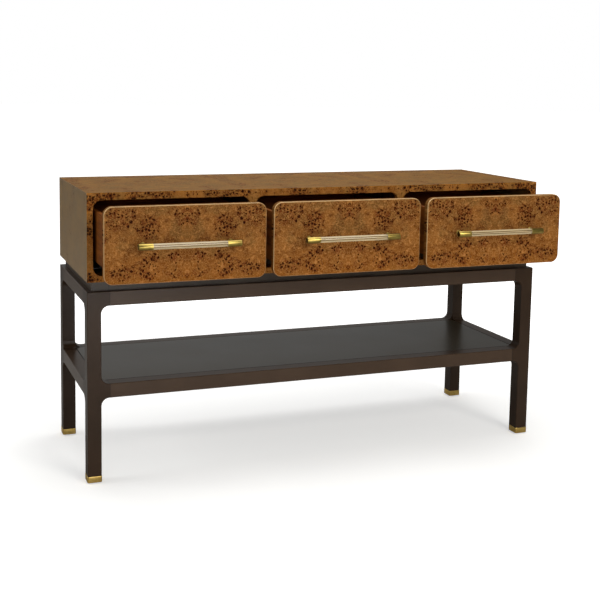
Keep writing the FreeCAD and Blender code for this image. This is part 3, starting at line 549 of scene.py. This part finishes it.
CLEAR = clear_acrylic("clear_acrylic")
print("rod lines where the normal turns up by", LINE_TURNS)

# %% [markdown]
# ## Dressing the CAD pieces
# A CAD node whose shape is right keeps its mesh and only gets a better material. A table from the start
# of a node's name to its finish keeps this short, and asking for every node makes sure that none is missed.

# %% Give every node its finish
FINISHES = (
    ("face_frame", LIT_FRAME_BURL), ("case_top", TOP_BURL), ("case_bottom", TOP_BURL), ("case_side", SIDE_BURL_SHEEN),
    ("case_partition", SHADED_INNER_WOOD[2]), ("case_back", SHADED_INNER_WOOD[0]), ("case_runners", STEEL),
    ("corner_blocks", BLOCK_WOOD), ("plinth", LIT_PLINTH_PAINT), ("leg_", LEG_PAINT), ("top_rail", LIT_RAIL_PAINT),
    ("shelf_rail", LIT_RAIL_PAINT), ("shelf_panel", SHEEN_SHELF_PAINT), ("foot_cups", CAP_BRASS),
    ("foot_glides", GLIDE), ("drawer_front", FRONT_BURL), ("drawer_box_front", DRAWER_WOOD[0]),
    ("drawer_back", DRAWER_WOOD[0]), ("drawer_side", DRAWER_WOOD[1]), ("drawer_bottom", FLOOR_WOOD),
    ("drawer_pull_rod", CLEAR), ("drawer_pull", TURNED_BRASS), ("drawer_carriers", STEEL),
    ("drawer_sliders", STEEL),
)
for name, node in nodes.items():
    kind = name.split("_", 1)[1] if name.startswith(BAYS) else name
    finish = next(material for start, material in FINISHES if kind.startswith(start))
    for index in range(len(node.data.materials)):
        node.data.materials[index] = finish
print("dressed", len(nodes), "nodes")

# %% [markdown]
# ## Pieces made again
# A facet or a hard edge gives a CAD model away, so the pieces that the eye goes to are made again in the
# same places: the drawer fronts, the foot cups and glides, and the pulls' rods, sleeves and posts. Each
# replaces its CAD node, rides on the same body and takes the node's finish. A turned piece is a
# profile spun round its axis. Spinning in bmesh leaves poles and seams to close, so here the rings are
# written straight from the profile, which is short and leaves nothing open.

# %% Finish a new piece
def piece(name, mesh, material, body, slot, *replaced):
    """Names a new piece, lets it ride on its body and hides the CAD nodes that it stands for."""
    thing = bpy.data.objects.new(name, mesh)
    bpy.context.scene.collection.objects.link(thing)
    mesh.materials.clear()
    mesh.materials.append(material)
    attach(thing, body)
    if replaced:
        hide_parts(*replaced)
    return thing


def smooth_mesh(name, maker, sharp=35):
    """Turns a bmesh into a mesh whose edges stay sharp where they turn by more than that many degrees."""
    bmesh.ops.remove_doubles(maker, verts=maker.verts[:], dist=1e-6)
    bmesh.ops.recalc_face_normals(maker, faces=maker.faces[:])
    for edge in maker.edges:
        if len(edge.link_faces) == 2 and edge.calc_face_angle(0) > math.radians(sharp):
            edge.smooth = False
    mesh = bpy.data.meshes.new(name)
    maker.to_mesh(mesh)
    maker.free()
    return mesh


# %% A turned solid from its profile
def painted_light_layer(maker):
    """The values that a finish reads as painted light."""
    return maker.verts.layers.float.get("mark") or maker.verts.layers.float.new("mark")


def turned(maker, profile, start, axis, segments=64):
    """Adds a turned solid. profile holds (way along the axis, radius), and a third value where painted light
    is laid on.
    """
    mark = painted_light_layer(maker)
    axis = Vector(axis)
    side = axis.orthogonal().normalized()
    other = axis.cross(side)
    rings = []
    for along, radius, *painted in profile:
        middle = Vector(start) + axis * along
        turns = [2 * math.pi * step / segments for step in range(segments if radius else 1)]
        spokes = [side * math.cos(turn) + other * math.sin(turn) for turn in turns]
        rings.append([maker.verts.new(middle + spoke * radius) for spoke in spokes])
        for vert in rings[-1]:
            vert[mark] = painted[0] if painted else 0.0
    for low, high in zip(rings, rings[1:]):
        for step in range(segments):
            after = (step + 1) % segments
            spots = ((low, step), (low, after), (high, after), (high, step))
            corners = [ring[spot % len(ring)] for ring, spot in spots]
            maker.faces.new(dict.fromkeys(corners)).smooth = True


print("turned solids ready")

# %% [markdown]
# ## Rounded blocks
# The drawer fronts and the foot cups are blocks with round corners and softened edges. Two Bevel modifiers
# in a row could make them, one for the corners and one for the edges, but their faces get uneven where the
# two meet. A stack of rings stays even: each ring is a rectangle with round corners, drawn in a little
# where the edge is softened. A ring can also carry a painted highlight, strongest towards one direction:
# on the fronts it is a light line along the rounded edge, brightest towards the upper left.

# %% A rounded block from a list of rings
def ring_of(low, high, across, along, corner, inset, steps):
    """Spots (across, along, angle) of a round-cornered rectangle, once round from its high corner."""
    spots = []
    corners = ((high[across], high[along]), (low[across], high[along]),
               (low[across], low[along]), (high[across], low[along]))
    for quarter, (a, b) in enumerate(corners):
        middle_a = a - math.copysign(corner, a - (low[across] + high[across]) / 2)
        middle_b = b - math.copysign(corner, b - (low[along] + high[along]) / 2)
        for step in range(steps + 1):
            angle = math.pi / 2 * (quarter + step / steps)
            spots.append((middle_a + (corner - inset) * math.cos(angle),
                          middle_b + (corner - inset) * math.sin(angle), angle))
    return spots


def rounded_block(maker, low, high, axis, corner, rings, steps=14):
    """Adds a closed block whose rings are round-cornered rectangles square to one axis.
    rings holds (place along the axis, inset, painted highlight, angle where that highlight is strongest or
    None)."""
    mark = painted_light_layer(maker)
    across, along = [k for k in range(3) if k != axis]
    made = []
    for place, inset, painted, bright in rings:
        made.append([])
        for a, b, angle in ring_of(low, high, across, along, corner, inset, steps):
            spot = {axis: place, across: a, along: b}
            vert = maker.verts.new([spot[k] for k in range(3)])
            share = 1.0 if bright is None else 0.3 + 0.7 * max(0.0, math.cos(angle - bright))
            vert[mark] = painted * share
            made[-1].append(vert)
    for near, far in zip(made, made[1:]):
        for step in range(len(near)):
            after = (step + 1) % len(near)
            maker.faces.new((near[step], far[step], far[after], near[after])).smooth = True
    maker.faces.new(made[0])
    maker.faces.new(reversed(made[-1]))


def rounded_edge(place, inward, rounding, steps=5):
    """Rings (place, inset) of a quarter round that starts flat on an end face and leaves it inwards."""
    angles = [math.pi / 2 * step / steps for step in range(steps + 1)]
    return [(place + inward * rounding * (1 - math.cos(a)), rounding * (1 - math.sin(a))) for a in angles]


print("rings in a rounded edge:", len(rounded_edge(0.0, 1, 0.001)))

# %% Drawer fronts with rounded edges
FRONT_CORNER, FRONT_ROUND = 0.0255, 0.002
HIGHLIGHT_TURN = math.radians(125)    # up and to the left
for bay in BAYS:
    low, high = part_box(f"{bay}_drawer_front")
    near = rounded_edge(low.y, 1, FRONT_ROUND)
    # Painted highlight on the rounded edge's rings, strongest up and to the left, where the light falls.
    rings = [(y, inset, float(step > 0), HIGHLIGHT_TURN) for step, (y, inset) in enumerate(near)]
    rings.append((low.y + FRONT_ROUND * 1.2, 0.0, 0.0, None))
    rings += [(y, inset, 0.0, None) for y, inset in reversed(rounded_edge(high.y, -1, FRONT_ROUND))]
    front = bmesh.new()
    rounded_block(front, low, high, 1, FRONT_CORNER, rings)
    mesh = smooth_mesh("front", front, 40)
    piece(f"{bay}_front_rounded", mesh, FRONT_BURL, f"drawer_{bay}", "burl_veneer", f"{bay}_drawer_front")
print("fronts:", [round((b - a) * 1000, 1) for a, b in zip(low, high)], "mm")

# %% [markdown]
# ## Feet
# Each leg ends in a square brass cup over a round glide. A cup is the same rounded block as a front, with
# two more rings inside it that leave a thin wall and a floor, and the glide is turned. All four cups are
# one piece, as in the CAD, because they are alike and never part from the legs.

# %% Brass cups and turned glides
CUP_WIDE, CUP_WALL, CUP_FLOOR = 0.044, 0.0035, 0.002
CUP_CORNER, CUP_ROUND = 0.004, 0.0012
GLIDE_RADIUS, GLIDE_ROUND, GLIDE_SOFT = 0.012, 0.0012, 0.0004
low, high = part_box("foot_cups")
glide_low, glide_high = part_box("foot_glides")
tall = glide_high.z - glide_low.z
glide_profile = (
    (0, 0), (0, GLIDE_RADIUS - GLIDE_ROUND), (GLIDE_SOFT, GLIDE_RADIUS - GLIDE_SOFT),
    (GLIDE_ROUND, GLIDE_RADIUS), (tall, GLIDE_RADIUS), (tall, 0),
)
inside = [(low.z + CUP_FLOOR, CUP_WALL), (high.z, CUP_WALL)]
outside = rounded_edge(high.z, -1, CUP_ROUND) + rounded_edge(low.z, 1, CUP_ROUND)[::-1]
cup_rings = [(z, inset, 0.0, None) for z, inset in inside + outside]
cups, glides = bmesh.new(), bmesh.new()
for x in (low.x, high.x - CUP_WIDE):
    for y in (low.y, high.y - CUP_WIDE):
        corner = Vector((x, y, low.z))
        far_corner = corner + Vector((CUP_WIDE, CUP_WIDE, high.z - low.z))
        rounded_block(cups, corner, far_corner, 2, CUP_CORNER, cup_rings, 6)
        turned(glides, glide_profile, (x + CUP_WIDE / 2, y + CUP_WIDE / 2, glide_low.z), (0, 0, 1), 48)
piece("foot_cups_rounded", smooth_mesh("cups", cups, 50), CAP_BRASS, "carcass", "brass", "foot_cups")
piece("foot_glides_turned", smooth_mesh("glides", glides), GLIDE, "carcass", "glide", "foot_glides")
print("cups:", round((high.z - low.z) * 1000), "mm high")

# %% [markdown]
# ## Pulls
# A pull is a clear rod held at both ends by brass sleeves, which stand on posts with a round rosette
# against the drawer front. All of it comes off a lathe, so each part is a profile. The rod has a narrow
# bore, so that the light bent through it has a second wall to turn at. It casts no shadow, because the
# shadow of a transmitting surface comes out as dark as a solid one's, and a clear rod's is faint. A
# sleeve's outer end is dished, and its finish paints the dish dark brown as painted shade.

# %% Turned rods
ROD_CHAMFER, BORE_SHARE = 0.0004, 0.36
for bay in BAYS:
    low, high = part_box(f"{bay}_drawer_pull_rod")
    radius, long = (high.z - low.z) / 2, high.x - low.x
    bore = radius * BORE_SHARE
    profile = (
        (0, bore), (0, radius - ROD_CHAMFER), (ROD_CHAMFER, radius), (long - ROD_CHAMFER, radius),
        (long, radius - ROD_CHAMFER), (long, bore), (0, bore),
    )
    rod = bmesh.new()
    turned(rod, profile, (low.x, (low.y + high.y) / 2, (low.z + high.z) / 2), (1, 0, 0), 96)
    mesh = smooth_mesh("rod", rod)
    shown = piece(f"{bay}_rod_clear", mesh, CLEAR, f"drawer_{bay}", "clear_rod", f"{bay}_drawer_pull_rod")
    shown.visible_shadow = False
print("rods:", round(long * 1000), "mm long,", round(radius * 2000, 1), "mm thick")

# %% The profile of a sleeve
SLEEVE_LONG, SLEEVE_CAP = 0.042, 0.006
SLEEVE_ROUND, SLEEVE_SOFT, MOUTH_BEVEL = 0.0007, 0.0002, 0.0003
DISH_DEEP, DISH_SHARE, LIP_SHARE = 0.0005, 0.84, 0.86    # the last two are shares of the radius


def sleeve_profile(radius, inner):
    """From the dish in its closed end along the outside to the mouth, and back along the rod's seat."""
    # The third value, 1, lays painted shade on the dish.
    return (
        (DISH_DEEP, 0, 1), (DISH_DEEP, radius * DISH_SHARE, 1), (0, radius * LIP_SHARE),
        (0, radius - SLEEVE_ROUND), (SLEEVE_SOFT, radius - SLEEVE_SOFT), (SLEEVE_ROUND, radius),
        (SLEEVE_LONG - MOUTH_BEVEL, radius), (SLEEVE_LONG, radius - MOUTH_BEVEL), (SLEEVE_LONG, inner),
        (SLEEVE_CAP, inner), (SLEEVE_CAP, 0),
    )


print("sleeves:", round(SLEEVE_LONG * 1000), "mm long")

# %% The profile of a post
POST_RADIUS = 0.0055
COVE = ((0.0048, 0.0), (0.0036, 0.0004), (0.003, 0.0012))    # off the drawer front, added to the radius
ROSETTE_DEEP, ROSETTE_FLAT, ROSETTE_BEVEL = 0.0026, 0.002, 0.0004


def post_profile(wide, long):
    """From the sleeve along the stem, out through a small cove and round the rosette."""
    cove = [(long - off, POST_RADIUS + added) for off, added in COVE]
    return (
        (0, 0), (0, POST_RADIUS), *cove, (long - ROSETTE_DEEP, wide - ROSETTE_BEVEL),
        (long - ROSETTE_FLAT, wide), (long, wide), (long, 0),
    )


print("posts:", round(POST_RADIUS * 2000), "mm thick")

# %% Turned sleeves and posts
ROD_PLAY = 0.0001
for bay in BAYS:
    rod_low, rod_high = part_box(f"{bay}_drawer_pull_rod")
    inner = (rod_high.z - rod_low.z) / 2 + ROD_PLAY
    low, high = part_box(f"{bay}_drawer_pull_sleeves")
    radius = (high.z - low.z) / 2
    sleeves = bmesh.new()
    for x, way in ((low.x, 1), (high.x, -1)):
        start = (x, (low.y + high.y) / 2, (low.z + high.z) / 2)
        turned(sleeves, sleeve_profile(radius, inner), start, (way, 0, 0))
    piece(f"{bay}_sleeves_turned", smooth_mesh("sleeves", sleeves), TURNED_BRASS, f"drawer_{bay}", "brass",
          f"{bay}_drawer_pull_sleeves")
    low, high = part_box(f"{bay}_drawer_pull_posts")
    wide, long = (high.z - low.z) / 2, high.y - low.y
    posts = bmesh.new()
    for x in (low.x + wide, high.x - wide):
        turned(posts, post_profile(wide, long), (x, low.y, (low.z + high.z) / 2), (0, 1, 0))
    piece(f"{bay}_posts_turned", smooth_mesh("posts", posts), TURNED_BRASS, f"drawer_{bay}", "brass",
          f"{bay}_drawer_pull_posts")
print("sleeves:", round(radius * 2000, 1), "mm thick, posts:", round(long * 1000, 1), "mm long")

# %% [markdown]
# ## Screws
# The back panel, the drawer fronts and the corner blocks are held by cross-recessed screws. They could be
# modelled once and copied by hand, but they repeat, so one Geometry Nodes tree makes them all: a tapered
# head with a cross cut into it is built once and set on every point of a mesh that holds only the places.
# The tree's named inputs size the head.

# %% The tree that sets a screw on every point
HEAD_SIDES = 24
TAPER, BAR_LONG = 0.72, 1.25    # shares of the head's radius
SIZE_INPUTS = ("Head Radius", "Head Height", "Cross Width", "Cross Depth")


def screw_tree():
    graph = bpy.data.node_groups.new("screws_on_points", "GeometryNodeTree")
    kinds = {
        "Points": "Geometry", **dict.fromkeys(SIZE_INPUTS, "Float"), "Turn": "Rotation",
        "Finish": "Material",
    }
    for label, kind in kinds.items():
        graph.interface.new_socket(label, in_out="INPUT", socket_type=f"NodeSocket{kind}")
    graph.interface.new_socket("Screws", in_out="OUTPUT", socket_type="NodeSocketGeometry")
    tree = Tree(graph)
    given = tree.add("NodeGroupInput", out="Points")
    radius, height, width, depth = [given.other(label) for label in SIZE_INPUTS]
    cone = {"Vertices": HEAD_SIDES, "Radius Top": radius * TAPER, "Radius Bottom": radius, "Depth": height}
    head = tree.add("GeometryNodeMeshCone", {}, cone)
    long, tall = radius * BAR_LONG, depth * 2.0
    bar_sizes = [tree.point(*size) for size in ((long, width, tall), (width, long, tall))]
    bars = [tree.add("GeometryNodeMeshCube", {}, {"Size": size}) for size in bar_sizes]
    union = {"operation": "UNION", "solver": "EXACT"}
    cross = tree.add("GeometryNodeMeshBoolean", union, {"Mesh 2": bars})
    lift = tree.point(0.0, 0.0, height)
    raised = tree.add("GeometryNodeTransform", {}, {"Geometry": cross, "Translation": lift})
    difference = {"operation": "DIFFERENCE", "solver": "EXACT"}
    cut = tree.add("GeometryNodeMeshBoolean", difference, {"Mesh 1": head, "Mesh 2": raised})
    spread = tree.add("GeometryNodeMeshToPoints", {}, {"Mesh": given})
    placing = {"Points": spread, "Instance": cut, "Rotation": given.other("Turn")}
    placed = tree.add("GeometryNodeInstanceOnPoints", {}, placing)
    real = tree.add("GeometryNodeRealizeInstances", {}, {"Geometry": placed})
    done = tree.add("GeometryNodeSetMaterial", {}, {"Geometry": real, "Material": given.other("Finish")})
    tree.add("NodeGroupOutput", {}, {"Screws": done})
    return graph


SCREWS = screw_tree()
SCREW_INPUTS = {
    item.name: item.identifier for item in SCREWS.interface.items_tree if item.in_out == "INPUT"
}
print("screw inputs:", sorted(SCREW_INPUTS))

# %% Set screws on a list of places
CROSS_WIDE, CROSS_DEEP = 0.22, 0.7    # shares of the head's radius and of its height


def screws(name, places, turn, body, radius, height):
    """One mesh of screws for one body. Every head stands on its place and points along turn's z axis."""
    points = bpy.data.meshes.new(name)
    points.from_pydata(places, [], [])
    holder = bpy.data.objects.new(name, points)
    bpy.context.scene.collection.objects.link(holder)
    modifier = holder.modifiers.new("screws", "NODES")
    modifier.node_group = SCREWS
    values = {
        "Head Radius": radius, "Head Height": height, "Cross Width": radius * CROSS_WIDE,
        "Cross Depth": height * CROSS_DEEP, "Turn": turn, "Finish": STEEL,
    }
    for label, value in values.items():
        modifier[SCREW_INPUTS[label]] = value
    mesh = bpy.data.meshes.new_from_object(holder.evaluated_get(bpy.context.evaluated_depsgraph_get()))
    bpy.data.objects.remove(holder)
    mesh.name = name
    piece(name, mesh, STEEL, body, "steel")


print("a cross is", CROSS_WIDE, "of the head's radius wide")

# %% Screws in the back panel
SUNK = 0.0004    # how far a head's rim sits in the wood
BACKWARDS, DOWNWARDS = (math.radians(-90), 0, 0), (math.radians(180), 0, 0)
PANEL_HEAD = (0.0034, 0.0012)    # radius and height, as for the other heads
ROW, ROW_IN, EDGE_IN, DIVIDER_IN = 9, 0.02, 0.012, 0.07
low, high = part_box("case_back")
row_x = [low.x + ROW_IN + (high.x - low.x - 2 * ROW_IN) * step / (ROW - 1) for step in range(ROW)]
row_z = (low.z + EDGE_IN, high.z - EDGE_IN)
divider_x = [sum(corner.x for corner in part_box(f"case_partition_{side}")) / 2 for side in ("left", "right")]
column_x = (low.x + EDGE_IN, *divider_x, high.x - EDGE_IN)
column_z = (low.z + DIVIDER_IN, (low.z + high.z) / 2, high.z - DIVIDER_IN)
back_places = [(x, high.y - SUNK, z) for x in row_x for z in row_z]
back_places += [(x, high.y - SUNK, z) for x in column_x for z in column_z]
screws("back_screws", back_places, BACKWARDS, "carcass", *PANEL_HEAD)
print("back screws:", len(back_places))

# %% Screws in the corner blocks and behind the drawer fronts
BLOCK_HEAD, FRONT_HEAD = (0.0045, 0.0022), (0.0045, 0.0016)
BLOCK_IN = 0.022
SIDE_IN, FOOT_IN, TOP_IN = 0.06, 0.045, 0.035
low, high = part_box("corner_blocks")
block_x, block_y = [(low[k] + BLOCK_IN, high[k] - BLOCK_IN) for k in (0, 1)]
block_places = [(x, y, low.z + SUNK) for x in block_x for y in block_y]
screws("block_screws", block_places, DOWNWARDS, "carcass", *BLOCK_HEAD)
for bay in BAYS:
    low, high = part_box(f"{bay}_drawer_box_front")
    screw_x, screw_z = (low.x + SIDE_IN, high.x - SIDE_IN), (low.z + FOOT_IN, high.z - TOP_IN)
    front_places = [(x, high.y - SUNK, z) for x in screw_x for z in screw_z]
    screws(f"{bay}_front_screws", front_places, BACKWARDS, f"drawer_{bay}", *FRONT_HEAD)
print("screws:", len(back_places) + len(block_places) + len(front_places) * len(BAYS))

# %% [markdown]
# ## The room
# The piece stands in soft studio light. White paper behind a piece is lit on its own in a studio, so it is
# here too: rays from the camera, and those that glass bends, meet plain white. Rays that a gloss mirrors
# meet the same paper at the level that reaches the piece, and little light from elsewhere. One bright
# world for all of them would be simpler, but it would wash out the dark paint.

# %% Background
PAPER_MIRRORED, ASIDE_MIRRORED, DAYLIGHT = 0.38, 0.09, 0.3
PAPER_FROM, PAPER_FULL = 0.7, 0.92    # how far backwards a ray has to head to meet the paper
world = bpy.data.worlds.new("studio")
bpy.context.scene.world = world
world.use_nodes = True
room = Tree(world.node_tree)
rays = room.add("ShaderNodeLightPath")
_, backwards, _ = room.parts(room.add("ShaderNodeTexCoord", out="Generated"))


def background(colour, strength):
    return room.add("ShaderNodeBackground", {}, {"Color": (*colour, 1.0), "Strength": strength})


def chosen(ray, otherwise, where_true):
    return room.add("ShaderNodeMixShader", {}, {0: rays.other(ray), 1: otherwise, 2: where_true})


white = background((1.0, 1.0, 1.0), 1.0)
paper = room.rise(backwards, PAPER_FROM, PAPER_FULL, ASIDE_MIRRORED, PAPER_MIRRORED)
seen = background((1.0, 0.99, 0.97), DAYLIGHT)
seen = chosen("Is Glossy Ray", seen, background((1.0, 1.0, 0.98), paper))
seen = chosen("Is Transmission Ray", seen, white)
seen = chosen("Is Camera Ray", seen, white)
room.add("ShaderNodeOutputWorld", {}, {"Surface": seen})
print("white to the camera,", PAPER_MIRRORED, "in a mirror")

# %% [markdown]
# ## The floor
# A plain diffuse floor would come out grey next to white paper, and more light would burn out the piece.
# So the floor glows a little, but only to the camera and through the clear rods: it reaches white away
# from the piece and keeps the soft shadow below it. In a gloss it is dimmer, as the paper is.

# %% Floor finish
PALE_FLOOR = ((0.74, 0.74, 0.73, 1.0), (0.78, 0.78, 0.77, 1.0))
DIM_FLOOR = (0.34, 0.34, 0.33, 1.0)
FLOOR_PATCH = 0.5
GLOW_NEAR, GLOW_MORE = 0.45, 0.6
GLOW_FROM, GLOW_FULL = 0.8, 6.0    # squares of the distance from the middle, in metres
paving = Finish("pale_floor")
mottle = paving.noise(paving.point(paving.x, paving.y, 0.0), FLOOR_PATCH, 2.0, 0.5)
plain = paving.add("ShaderNodeBsdfDiffuse", {}, {"Color": paving.mix(mottle, *PALE_FLOOR)})
dim = paving.add("ShaderNodeBsdfDiffuse", {}, {"Color": DIM_FLOOR})
away = paving.x * paving.x + paving.y * paving.y
strength = paving.rise(away, GLOW_FROM, GLOW_FULL) * GLOW_MORE + GLOW_NEAR
glow = paving.add("ShaderNodeEmission", {}, {"Color": (1.0, 1.0, 1.0, 1.0), "Strength": strength})
lit = paving.add("ShaderNodeAddShader", {}, {0: plain, 1: glow})
looks = paving.add("ShaderNodeLightPath")
direct = looks.other("Is Camera Ray") + looks.other("Is Transmission Ray")
shown = paving.add("ShaderNodeMixShader", {}, {0: looks.other("Is Glossy Ray"), 1: plain, 2: dim})
shown = paving.add("ShaderNodeMixShader", {}, {0: direct, 1: shown, 2: lit})
paving.add("ShaderNodeOutputMaterial", {}, {"Surface": shown})
print("floor glows by", GLOW_NEAR, "at the piece and", round(GLOW_NEAR + GLOW_MORE, 2), "far away")

# %% Floor disc
FLOOR_RADIUS = 40
disc = bmesh.new()
turns = [math.radians(degrees) for degrees in range(0, 360, 6)]
rim = [disc.verts.new((FLOOR_RADIUS * math.cos(a), FLOOR_RADIUS * math.sin(a), 0)) for a in turns]
disc.faces.new(rim)
floor_mesh = bpy.data.meshes.new("floor")
disc.to_mesh(floor_mesh)
disc.free()
floor_mesh.materials.append(paving.material)
floor = bpy.data.objects.new("floor", floor_mesh)
bpy.context.scene.collection.objects.link(floor)
print("floor faces up:", floor_mesh.polygons[0].normal.z > 0)

# %% [markdown]
# ## Lamps
# Five large area lamps stand in for a studio's soft boxes: a key in front on the right, one overhead, a
# weak fill on the left, a low one that reaches under the case, and one at the left end. Their levels are
# set so that a colour renders about as it is written. A few small lamps or a sun would be simpler to
# place, but they draw hard shadows and sharp highlights that soft boxes don't.

# %% Five soft boxes
def lamp(name, place, aim, size, watts, colour=(1.0, 1.0, 1.0)):
    """A square soft lamp that looks at a point."""
    light = bpy.data.lights.new(name, "AREA")
    light.size, light.energy, light.color = size, watts, colour
    holder = bpy.data.objects.new(name, light)
    holder.location = place
    holder.rotation_euler = (Vector(aim) - Vector(place)).to_track_quat("-Z", "Y").to_euler()
    bpy.context.scene.collection.objects.link(holder)


lamp("key", (0.9, -3.6, 2.3), (0.0, 0.0, 0.65), 1.7, 71, (1.0, 0.97, 0.92))
lamp("overhead", (0.2, 0.2, 3.4), (0.0, 0.1, 0.6), 2.4, 76)
lamp("fill", (-2.6, -4.2, 1.6), (0.0, 0.0, 0.5), 1.6, 20)
lamp("low", (-0.3, -3.3, 0.3), (0.0, 0.0, 0.55), 1.2, 24)
lamp("side", (-3.6, 0.4, 1.6), (0.0, 0.1, 0.6), 1.6, 30)

# %% [markdown]
# ## The camera
# The camera stands left of the middle, a little above the top, and looks slightly down and to the right.
# It could be moved by eye until it looks right, but its place, turn and lens come from solving for them on
# the case's own corners, which gets the edges closer than the eye does. The shift frames the piece.

# %% Camera
EYE_PLACE = Vector((-1.3147, -3.1402, 1.2133))
YAW, PITCH_UP, ROLL = 0.3416, -0.1127, 0.0127
PICTURE = 600                # pixels across, and as many down
FOCAL_PIXELS = 1049.5
AHEAD_X, AHEAD_Y = 254, 196    # the pixel that lies straight ahead
SENSOR = 36.0
flat = math.cos(PITCH_UP)
forward = Vector((math.sin(YAW) * flat, math.cos(YAW) * flat, math.sin(PITCH_UP)))
level = Vector((math.cos(YAW), -math.sin(YAW), 0.0))
upright = level.cross(forward)
right = level * math.cos(ROLL) + upright * math.sin(ROLL)
up = upright * math.cos(ROLL) - level * math.sin(ROLL)
lens = bpy.data.cameras.new("camera")
lens.sensor_fit = "HORIZONTAL"
lens.sensor_width = SENSOR
lens.lens = FOCAL_PIXELS / PICTURE * SENSOR
lens.shift_x = (PICTURE / 2 - AHEAD_X) / PICTURE
lens.shift_y = (AHEAD_Y - PICTURE / 2) / PICTURE
camera = bpy.data.objects.new("camera", lens)
camera.matrix_world = Matrix.Translation(EYE_PLACE) @ Matrix((right, up, -forward)).transposed().to_4x4()
bpy.context.scene.collection.objects.link(camera)
bpy.context.scene.camera = camera
print("lens:", round(lens.lens, 2), "mm")

# %% [markdown]
# ## Colour
# The Standard view shows a colour as it is written, with no film curve.

# %% Colour and the end
bpy.context.scene.view_settings.view_transform = "Standard"
